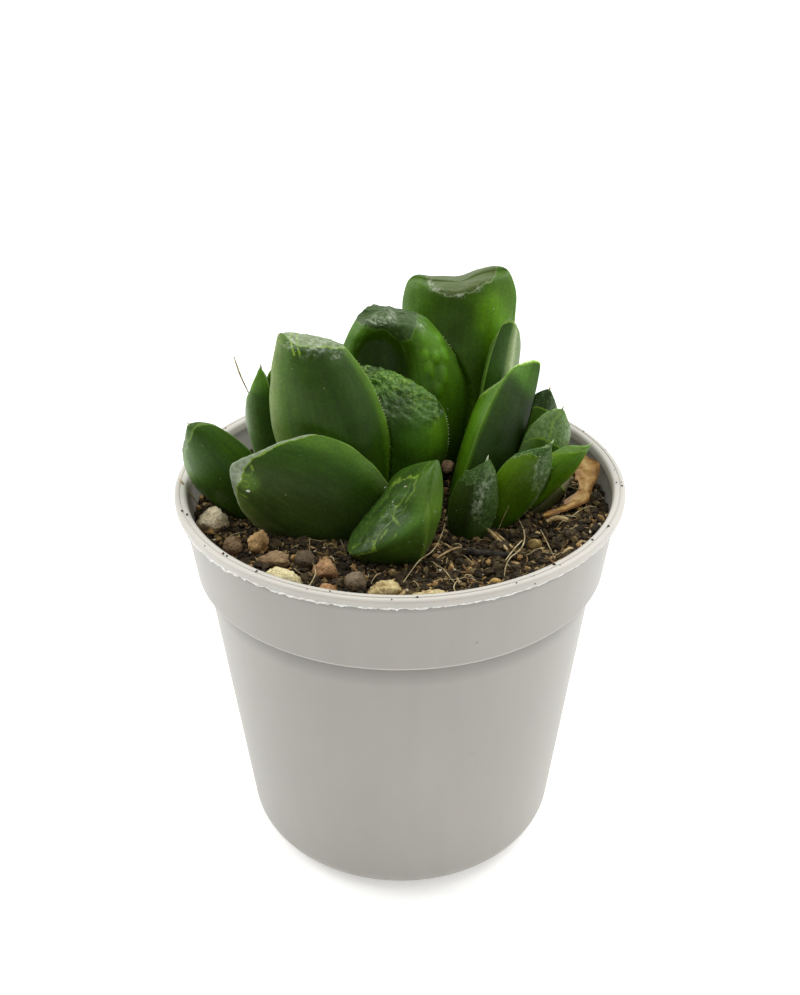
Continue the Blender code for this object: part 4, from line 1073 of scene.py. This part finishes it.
def stone_skin(name, colour):
    """A dry mineral skin: a base colour, darker stains, a darker foot and pits of about 0.3 mm.
    """
    shares = zip((0, 2, 4), STAINED)
    dark = "".join(f"{int(int(colour[i:i + 2], 16) * share):02X}" for i, share in shares)
    skin, shader, add, place = new_skin(name, 0.85, Specular_IOR_Level=0.3)
    height = add("SeparateXYZ", place, out="Z")
    # darker towards the foot of each stone, near the soil
    foot = add("MapRange", height, DARK_FOOT_FROM * MM, DARK_FOOT_FULL * MM, 0, 0.35)
    stain_and_foot = add("Math", add("TexNoise", place, 700, 5, 0.7), foot, operation="ADD")
    tint = add("ValToRGB", stain_and_foot, stops=((0.5, colour), (0.8, dark)))
    grain = add("TexNoise", place, 3400, 3, 0.8)
    value = add("MapRange", grain, 0.3, 0.7, 0.66, 1.38)
    dress(shader, Base_Color=add("HueSaturation", Value=value, Color=tint),
          Normal=add("Bump", 0.9, 0.0003, Height=grain))
    return skin


def stone_body(index, stone, z):
    """A stone's bmesh in mm: a ball with worn flats, slow lumps and quick pits."""
    bm = bmesh.new()
    bmesh.ops.create_icosphere(bm, subdivisions=5, radius=0.5)
    rng = random.Random(index)
    flats = [(Vector(rng.gauss(0, 1) for _ in range(3)).normalized(), rng.uniform(*FLAT_AT))
             for _ in range(FLATS)]
    offset = Vector((index * 5.3, 0, 1.7))
    for vert in bm.verts:
        way = vert.co.normalized()
        worn = min([1.0] + [at / way.dot(flat) for flat, at in flats if way.dot(flat) > at])
        grown_by = 1.0
        for scale, high in STONE_NOISE:
            grown_by += high * noise.noise(vert.co * scale + offset)
        vert.co *= grown_by
        if stone.size[0] > SMALLEST_ANGULAR:
            vert.co *= worn
    bmesh.ops.scale(bm, vec=stone.size, verts=bm.verts)
    turn = Matrix.Rotation(math.radians(stone.turn), 3, "Z")
    bmesh.ops.rotate(bm, matrix=turn, verts=bm.verts)
    bmesh.ops.translate(bm, vec=(*stone.at, z), verts=bm.verts)
    return bm


stone_trees = []
for index, (name, stone) in enumerate(STONES.items()):
    z = soil_height(*stone.at) + stone.size[2] * (0.5 - STONE_SUNK)
    body = stone_body(index, stone, BALL_Z if name == "pebble_ball" else z)
    stone_trees.append(BVHTree.FromBMesh(body))
    finish_piece(name + "_grit", body, stone_skin("dry_" + name, stone.colour), [name])

# %% [markdown]
# Loose soil is strewn over the fill: peat and coir crumbs, tan and pale grit and chips of
# straw. Each crumb is a twenty-faced ball that is pushed out of shape, squashed and turned,
# and only the hundred largest clods are finer.
# They are made by the handful in small meshes and joined, which keeps the operators quick,
# and none is put where a leaf or a stone already is.

# %% Loose soil
Strewn = namedtuple("Strewn", "count small large squash dark light rough round")
LOOSE = {
    "peat_clods": Strewn(110, 1.4, 3.0, 0.7, "1E1810", "584A30", 0.9, 3),
    "peat_crumbs": Strewn(3600, 0.3, 1.5, 0.8, "17130D", "463A26", 0.9, 1),
    "coir_crumbs": Strewn(2600, 0.3, 1.3, 0.7, "38301E", "806C44", 0.85, 1),
    "tan_grit": Strewn(700, 0.3, 1.4, 0.75, "86683E", "B8945A", 0.7, 1),
    "pale_grit": Strewn(420, 0.2, 0.7, 0.8, "C4B48C", "EEE6D0", 0.6, 1),
    "straw_chips": Strewn(420, 0.6, 2.0, 0.2, "8E7244", "CDB27C", 0.6, 1),
}
HANDFUL = 150
CRUMB_CLEAR, CRUMB_RAISED, CRUMB_SHARP = 0.2, 0.45, 40
CRUMB_JAGS, CRUMB_NARROW, CRUMB_TIP = (0.72, 1.2), 0.8, 0.5
CLOD_LUMPS, CLOD_SCALE, CLOD_JAGS = 0.5, 2.2, 0.05
STREWN_IN, STREWN_OUT = 5.0, 29.9


def buried(spot, clear):
    """Whether a spot in mm lies in a leaf or a stone, or nearer to one than clear."""
    for tree in (*leaf_trees.values(), *stone_trees):
        near, normal, _, far = tree.find_nearest(spot)
        if far < clear or (spot - near).dot(normal) < 0:
            return True
    return False


def ground(x, y):
    return soil_height(x, y) + crumble(x, y)


def soil_spot(rng, clear):
    """A free spot on the soil."""
    while True:
        reach = math.sqrt(rng.uniform(STREWN_IN ** 2, STREWN_OUT ** 2))
        angle = rng.uniform(0, math.tau)
        x, y = reach * math.cos(angle), reach * math.sin(angle)
        spot = Vector((x, y, ground(x, y)))
        if not buried(spot, clear):
            return spot


def crumb(bm, rng, size, kind, spot):
    """Adds one crumb to a bmesh."""
    verts = bmesh.ops.create_icosphere(bm, subdivisions=kind.round, radius=size / 2)["verts"]
    for vert in verts:
        if kind.round > 1:
            lump = CLOD_LUMPS * noise.noise(vert.co * CLOD_SCALE + spot)
            vert.co *= 1 + lump + rng.uniform(-CLOD_JAGS, CLOD_JAGS)
        else:
            vert.co *= rng.uniform(*CRUMB_JAGS)
        vert.co.y *= CRUMB_NARROW
        vert.co.z *= kind.squash
    way = Matrix.Rotation(rng.uniform(0, math.tau), 3, "Z")
    way @= Matrix.Rotation(rng.gauss(0, CRUMB_TIP), 3, "X")
    for vert in verts:
        vert.co = way @ vert.co + spot


def crumb_skin(name, dark, light, rough):
    """The dry skin of crumbs and fibres, with a tone that changes from bit to bit."""
    return mottled_skin(name, rough, (900, 3, 0.7), ((0.36, dark), (0.62, light)),
                        (0.6, 0.0003), Specular_IOR_Level=0.3)


for name, kind in LOOSE.items():
    rng = random.Random(name)
    heap = bmesh.new()
    for start in range(0, kind.count, HANDFUL):
        handful = bmesh.new()
        for _ in range(min(HANDFUL, kind.count - start)):
            size = kind.small + (kind.large - kind.small) * rng.random() ** 2
            spot = soil_spot(rng, CRUMB_CLEAR * size)
            spot.z += size * kind.squash * rng.uniform(0.0, CRUMB_RAISED)
            crumb(handful, rng, size, kind, spot)
        mesh = mesh_of("handful", handful)
        heap.from_mesh(mesh)
        bpy.data.meshes.remove(mesh)
    dry = crumb_skin("dry_" + name, kind.dark, kind.light, kind.rough)
    finish_piece(name, heap, dry, sharp=CRUMB_SHARP)

# %% [markdown]
# A few crumbs of the peat were spilled on the rim when the pot was filled.

# %% Rim crumbs
RIM_CRUMBS, RIM_CRUMB_SIZES = 46, (0.15, 0.5)
RIM_MIDDLE = (BAND_TOP_R + RIM_R) / 2 - 0.2
RIM_SPREAD = (-0.6, 0.5)
PEAT = LOOSE["peat_crumbs"]

rng = random.Random(12)
bm = bmesh.new()
for _ in range(RIM_CRUMBS):
    angle, reach = rng.uniform(0, math.tau), RIM_MIDDLE + rng.uniform(*RIM_SPREAD)
    spot = Vector((reach * math.cos(angle), reach * math.sin(angle), POT_HEIGHT + 0.05))
    crumb(bm, rng, rng.uniform(*RIM_CRUMB_SIZES), PEAT, spot)
spilled = crumb_skin("spilled_peat", PEAT.dark, PEAT.light, PEAT.rough)
finish_piece("rim_crumbs", bm, spilled, sharp=CRUMB_SHARP)

# %% [markdown]
# Mineral dust lies on the leaves in tiny grains, and two larger flecks stand out.

# %% Dust on the leaves
DUST = Strewn(0, 0.12, 0.34, 0.6, "A8A890", "E4E4D8", 0.7, 1)
# leaf, place in mm and size of the two flecks
FLECKS = (("leaf_front_left", (-20.9, -9.5, 61.7), 0.75), ("leaf_front", (1.0, -13.6, 64.2), 0.6))

rng = random.Random(8)
bm = bmesh.new()
for spot in dust_spots:
    size = DUST.small + (DUST.large - DUST.small) * rng.random() ** 3
    crumb(bm, rng, size, DUST, spot)
for name, at, size in FLECKS:
    crumb(bm, rng, size, DUST, leaf_trees[name].find_nearest(Vector(at))[0])
dusty = crumb_skin("mineral_dust", DUST.dark, DUST.light, DUST.rough)
finish_piece("leaf_dust", bm, dusty, sharp=CRUMB_SHARP)

# %% [markdown]
# Thin roots, coir threads and hairs lie over the soil, mostly on the right. A thread is a
# spline of a curve with a round bevel: it starts in the soil, wanders, lifts a little and
# goes back in. All threads of one kind are one curve, which is then turned into a mesh.

# %% Threads
Thread = namedtuple("Thread", "count length thick lift colours")
THREADS = {
    "pale_roots": Thread(150, 6.0, 0.07, 1.0, ("8E7A50", "D8C79A")),
    "coir_threads": Thread(260, 5.0, 0.10, 0.7, ("5A4228", "9A7A4A")),
    "straw_bits": Thread(60, 3.6, 0.22, 0.5, ("94784A", "CDB482")),
}
THREAD_STEPS = 7
THREAD_CLEAR, THREAD_SUNK, THREAD_TURN = 0.3, 0.25, 0.45
THREAD_LONG, THREAD_LIFT, THREAD_SHAKE = (0.4, 1.5), (0.2, 1.3), (-0.1, 0.2)
THREAD_THICK, FIBRE_ROUGH = (0.6, 1.5), 0.6
# a start further left than a draw from this range, in mm, is drawn again
MOSTLY_RIGHT = (-34, 12)

# the threads that stand out, as points in mm and a radius
KNOWN_THREADS = {
    "pale_roots": (
        (((-24.1, 9.0, 73.8), (-23.7, 8.7, 72.4), (-23.2, 8.3, 70.8), (-22.0, 8.0, 68.0)), 0.16),
        (((-32.0, -0.6, 58.9), (-31.4, -2.2, 59.2), (-30.4, -2.0, 57.4), (-29.6, -0.6, 54.6)),
         0.15),
        (((-12.6, -13.2, 53.4), (-12.4, -13.3, 54.9), (-12.5, -13.2, 56.4)), 0.07),
        (((-7.3, -13.6, 53.4), (-7.7, -13.5, 54.9), (-8.2, -13.4, 56.1)), 0.07),
        (((7.2, 0.2, 53.6), (7.1, 0.3, 55.0), (7.3, 0.2, 56.4)), 0.05),
        (((0.4, -20.9, 54.0), (1.8, -18.6, 54.9), (2.8, -16.8, 55.2), (4.4, -14.4, 54.6),
          (5.8, -10.8, 55.0), (6.3, -9.4, 56.4)), 0.09),
        (((14.0, -7.2, 54.0), (14.6, -6.6, 55.4), (15.4, -6.2, 57.2)), 0.06),
        (((17.0, -4.6, 54.2), (17.7, -9.1, 54.9), (16.9, -14.0, 54.8), (14.2, -16.5, 54.7),
          (13.8, -20.7, 54.4)), 0.10),
        (((14.3, -16.5, 54.6), (15.8, -13.9, 55.2), (17.0, -11.6, 54.8)), 0.13),
        (((19.9, -8.0, 54.3), (20.4, -12.2, 54.9), (21.2, -16.9, 54.5)), 0.13),
        (((21.6, -10.0, 54.3), (22.3, -13.0, 54.8), (23.0, -15.4, 54.4)), 0.12),
        (((-12.0, -16.2, 54.2), (-11.2, -19.2, 55.2), (-11.4, -21.6, 55.0),
          (-12.4, -22.9, 54.2)), 0.09),
    ),
    "straw_bits": (
        (((12.4, -7.9, 54.4), (13.4, -10.8, 54.9), (14.8, -13.8, 54.5)), 0.4),
        (((13.4, -8.6, 54.3), (14.4, -11.2, 54.7), (15.6, -13.0, 54.4)), 0.25),
        (((4.9, -15.4, 54.2), (7.0, -13.7, 54.9), (8.4, -13.4, 54.8)), 0.22),
        (((21.0, -5.9, 54.4), (22.4, -5.1, 55.0), (24.0, -5.7, 54.6)), 0.55),
    ),
}


def wandering(rng, kind):
    """The points of one thread, from soil to soil."""
    start = soil_spot(rng, THREAD_CLEAR)
    while start.x < rng.uniform(*MOSTLY_RIGHT):
        start = soil_spot(rng, THREAD_CLEAR)
    heading = rng.uniform(0, math.tau)
    long = kind.length * rng.uniform(*THREAD_LONG)
    lift = kind.lift * rng.uniform(*THREAD_LIFT)
    points, x, y = [], start.x, start.y
    for i in range(THREAD_STEPS):
        share = i / (THREAD_STEPS - 1)
        high = lift * math.sin(math.pi * share) - THREAD_SUNK + rng.uniform(*THREAD_SHAKE)
        points.append(Vector((x, y, ground(x, y) + high)))
        heading += rng.gauss(0, THREAD_TURN)
        x += math.cos(heading) * long / THREAD_STEPS
        y += math.sin(heading) * long / THREAD_STEPS
    return points


def lies_free(points):
    """Whether a thread stays in the pot and out of the leaves and stones."""
    return all(math.hypot(p.x, p.y) < STREWN_OUT - 0.3 and not buried(p, 0.1)
               for p in points)


for name, kind in THREADS.items():
    rng = random.Random(name)
    curve = bpy.data.curves.new(name, "CURVE")
    curve.dimensions = "3D"
    curve.bevel_depth = 1.0
    curve.bevel_resolution = 1
    curve.resolution_u = 3
    curve.use_fill_caps = True
    lines = [([Vector(p) for p in points], thick)
             for points, thick in KNOWN_THREADS.get(name, ())]
    while len(lines) < kind.count:
        points = wandering(rng, kind)
        if lies_free(points):
            lines.append((points, kind.thick * rng.uniform(*THREAD_THICK)))
    for points, thick in lines:
        spline = curve.splines.new("NURBS")
        spline.points.add(len(points) - 1)
        spline.order_u = 3
        spline.use_endpoint_u = True
        for i, (point, at) in enumerate(zip(spline.points, points)):
            point.co = (*at, 1)
            point.radius = thick * (1 - 0.5 * abs(2 * i / (len(points) - 1) - 1) ** 2)
    holder = add_object("thread_curve", curve)
    bpy.context.view_layer.update()
    mesh = bpy.data.meshes.new_from_object(
        holder.evaluated_get(bpy.context.evaluated_depsgraph_get()))
    bpy.data.objects.remove(holder)
    bm = bmesh.new()
    bm.from_mesh(mesh)
    finish_piece(name, bm, crumb_skin("dry_" + name, *kind.colours, FIBRE_ROUGH))

# %% [markdown]
# The husk is the papery base of a dead leaf: a wide lobe that leans on the pot's wall, a
# waist, and a strip that curls over the soil. A grid is bent along the line of the solid,
# its edges curl up, and then it gets the thickness of thick paper.

# %% Husk
HUSK_LINE = (
    ((20.6, -4.4, 54.3), 0.5), ((23.0, -3.2, 54.6), 0.6), ((25.2, -2.0, 54.9), 0.9),
    ((26.6, -0.6, 55.2), 1.4), ((27.3, 1.0, 55.8), 1.0), ((27.6, 2.8, 56.7), 1.7),
    ((27.6, 4.4, 57.8), 2.0), ((27.4, 5.6, 59.0), 1.0),
)
HUSK_THICK = 0.28
HUSK_ALONG, HUSK_ACROSS = 84, 14
HUSK_CURL, HUSK_WAVES, HUSK_RIPPLES = 0.2, 0.10, 0.12
# how quickly the lobe and the strip close at their ends, and the least share of the width
LOBE_END, STRIP_END, STRIP_LEAST, HUSK_LEAST = 7, 9, 0.35, 0.02


def along_line(line, place):
    """Centre, way and half width at a place from 0 to 1 on the husk's line."""
    at = place * (len(line) - 1)
    i = min(int(at), len(line) - 2)
    k = at - i
    rows = [line[max(0, min(len(line) - 1, j))] for j in (i - 1, i, i + 1, i + 2)]
    p0, p1, p2, p3 = (Vector((*point, half)) for point, half in rows)
    spot = 0.5 * (2 * p1 + (p2 - p0) * k + (2 * p0 - 5 * p1 + 4 * p2 - p3) * k * k
                  + (3 * p1 - p0 - 3 * p2 + p3) * k ** 3)
    way = (p2 - p1).xyz.normalized()
    return spot.xyz, way, spot.w


bm = bmesh.new()
bmesh.ops.create_grid(bm, x_segments=HUSK_ALONG, y_segments=HUSK_ACROSS, size=1)
edge_note = bm.verts.layers.float.new("edge")
for vert in bm.verts:
    place, k = (vert.co.x + 1) / 2, vert.co.y
    spot, way, half = along_line(HUSK_LINE, place)
    end = min(1, (1 - place) * LOBE_END, place * STRIP_END + STRIP_LEAST)
    wave = 1 + HUSK_WAVES * noise.noise(Vector((place * 9, k, 2.5)))
    half *= math.sqrt(max(HUSK_LEAST, end)) * wave
    across = way.cross(Vector((0, 0, 1))).normalized()
    ripple = HUSK_RIPPLES * noise.noise(Vector((place * 14, k * 2, 0)))
    raised = HUSK_CURL * half * abs(k) ** 3 + ripple
    vert.co = spot + across * half * k + Vector((0, 0, raised))
    vert[edge_note] = abs(k) ** 2
bmesh.ops.recalc_face_normals(bm, faces=bm.faces)
bmesh.ops.solidify(bm, geom=bm.faces[:], thickness=HUSK_THICK)
bmesh.ops.recalc_face_normals(bm, faces=bm.faces)

# papery: matt and flecked, thin enough to glow, and browner at its edges
papery, shader, add, place = new_skin(
    "dry_papery_husk", 0.55, Subsurface_Weight=0.1, Subsurface_Scale=0.001,
    Subsurface_Radius=(1.0, 0.8, 0.5))
fleck = add("TexNoise", place, 520, 4, 0.65)
edge = add("Attribute", attribute_name="edge", out="Fac")
browned = add("Math", fleck, add("Math", edge, 0.35, operation="MULTIPLY"), operation="ADD")
tan = add("ValToRGB", browned, stops=((0.4, "D6B678"), (0.54, "BC9048"), (0.8, "84581E")))
dress(shader, Base_Color=tan, Normal=add("Bump", 0.5, 0.0003, Height=fleck))
finish_piece("papery_husk", bm, papery, ["husk"], sharp=50)

# %% [markdown]
# The stick is a bit of dark bark-covered twig, half sunk in the soil. A cone is cut across
# many times and bent and knotted by noise. The stem under the leaves is short and corky. It
# keeps its solid and only gets a skin.

# %% Stick and stem
STICK_START, STICK_END = Vector((9.2, -13.4, 54.2)), Vector((15.4, -14.6, 54.0))
STICK_R = 0.65
STICK_CUTS = 40
STICK_TAPER = 0.6
BARK_KNOTS, BARK_RIDGES = 0.22, 0.16
STICK_BEND_X, STICK_BEND_Y = 0.35, 0.25

bm = bmesh.new()
bmesh.ops.create_cone(bm, cap_ends=True, segments=20, radius1=STICK_R,
                      radius2=STICK_R * STICK_TAPER, depth=(STICK_END - STICK_START).length)
long_edges = [e for e in bm.edges if abs(e.verts[0].co.z - e.verts[1].co.z) > 1]
bmesh.ops.subdivide_edges(bm, edges=long_edges, cuts=STICK_CUTS, use_grid_fill=True)
for vert in bm.verts:
    bark = BARK_KNOTS * noise.noise(vert.co * 0.9) + BARK_RIDGES * noise.noise(vert.co * 3)
    vert.co.xy *= 1 + bark
    vert.co.x += STICK_BEND_X * noise.noise(Vector((0, 3.3, vert.co.z * 0.45)))
    vert.co.y += STICK_BEND_Y * noise.noise(Vector((8.1, 0, vert.co.z * 0.6)))
turn = Vector((0, 0, 1)).rotation_difference(STICK_END - STICK_START).to_matrix()
bmesh.ops.rotate(bm, matrix=turn, verts=bm.verts)
bmesh.ops.translate(bm, vec=(STICK_START + STICK_END) / 2, verts=bm.verts)


def bark_skin(name, dark, light):
    """Dull fibrous bark, with cracks of about 0.5 mm."""
    return mottled_skin(name, 0.8, (1100, 5, 0.75), ((0.42, dark), (0.66, light)),
                        (0.7, 0.0004), Specular_IOR_Level=0.3)


finish_piece("bark_stick", bm, bark_skin("dark_bark", "15120F", "4C443A"), ["stick"])
corky = bark_skin("corky_stem", "5E4C30", "A08C60")
bpy.data.objects["stem"].material_slots[0].material = corky

# %% [markdown]
# The leaves' margins carry tiny pale teeth, a quarter of a millimetre long, and the young
# leaves end in a white spine. Each tooth is a five-sided cone, set on the margin and pointed
# out of the leaf.

# %% Teeth and spines
TOOTHED = {"leaf_tall_left": -1, "leaf_centre": 1, "leaf_upper": 1, "offset_right_leaf_4": -1}
TOOTH_FROM, TOOTH_TO, TOOTH_STEP, TOOTH_STEPS = 0.3, 0.9, 0.55, (0.7, 1.3)
TOOTH_LONG, TOOTH_LONGS, TOOTH_R = 0.26, (0.6, 1.2), 0.10
TOOTH_RISE, TOOTH_CLEAR = 0.5, 0.1
CONE_TIP, CONE_SUNK = 0.1, 0.25
SPINED = [name for name in OFFSET_LOOKS if name not in ("dying_leaf_tip", "offset_left_leaf_3")]
SPINE_LONG, SPINE_R, SPINE_SUNK = 0.9, 0.22, 0.25


def add_cone(bm, root, way, long, radius):
    """A small five-sided cone, with its foot sunk a little behind its root."""
    verts = bmesh.ops.create_cone(bm, cap_ends=True, segments=5, radius1=radius,
                                  radius2=radius * CONE_TIP, depth=long)["verts"]
    turn = Vector((0, 0, 1)).rotation_difference(way).to_matrix()
    for vert in verts:
        vert.co = turn @ vert.co + root + way * long * CONE_SUNK


bm = bmesh.new()
for name, side in TOOTHED.items():
    spec = LEAVES[name]
    left, _, up = axes = leaf_axes(spec)
    angle = 0 if side > 0 else math.pi
    top = edge_share(spec, angle)
    rng = random.Random(name)
    share = TOOTH_FROM
    while share < top * TOOTH_TO:
        place, _ = leaf_place(spec, LOOKS[name], angle, share / top * WALL_RINGS)
        root = in_pot(spec, axes, place)
        way = (left * side + up * TOOTH_RISE).normalized()
        if not any((root - tree.find_nearest(root)[0]).length < TOOTH_CLEAR
                   for other, tree in leaf_trees.items() if other != name):
            add_cone(bm, root, way, TOOTH_LONG * rng.uniform(*TOOTH_LONGS), TOOTH_R)
        share += TOOTH_STEP * rng.uniform(*TOOTH_STEPS) / spec.length
for name in SPINED:
    spec = LEAVES[name]
    left, _, up = axes = leaf_axes(spec)
    place, _ = leaf_place(spec, LOOKS[name], math.radians(spec.tip), WALL_RINGS)
    place.z -= SPINE_SUNK
    add_cone(bm, in_pot(spec, axes, place), (up + left * spec.sway * 2).normalized(),
             SPINE_LONG, SPINE_R)
horny = mottled_skin("horny_pale_teeth", 0.4, (500,), ((0.35, "8EA860"), (0.65, "D5DDBE")),
                     Subsurface_Weight=0.2, Subsurface_Scale=0.0005)
finish_piece("margin_teeth", bm, horny)
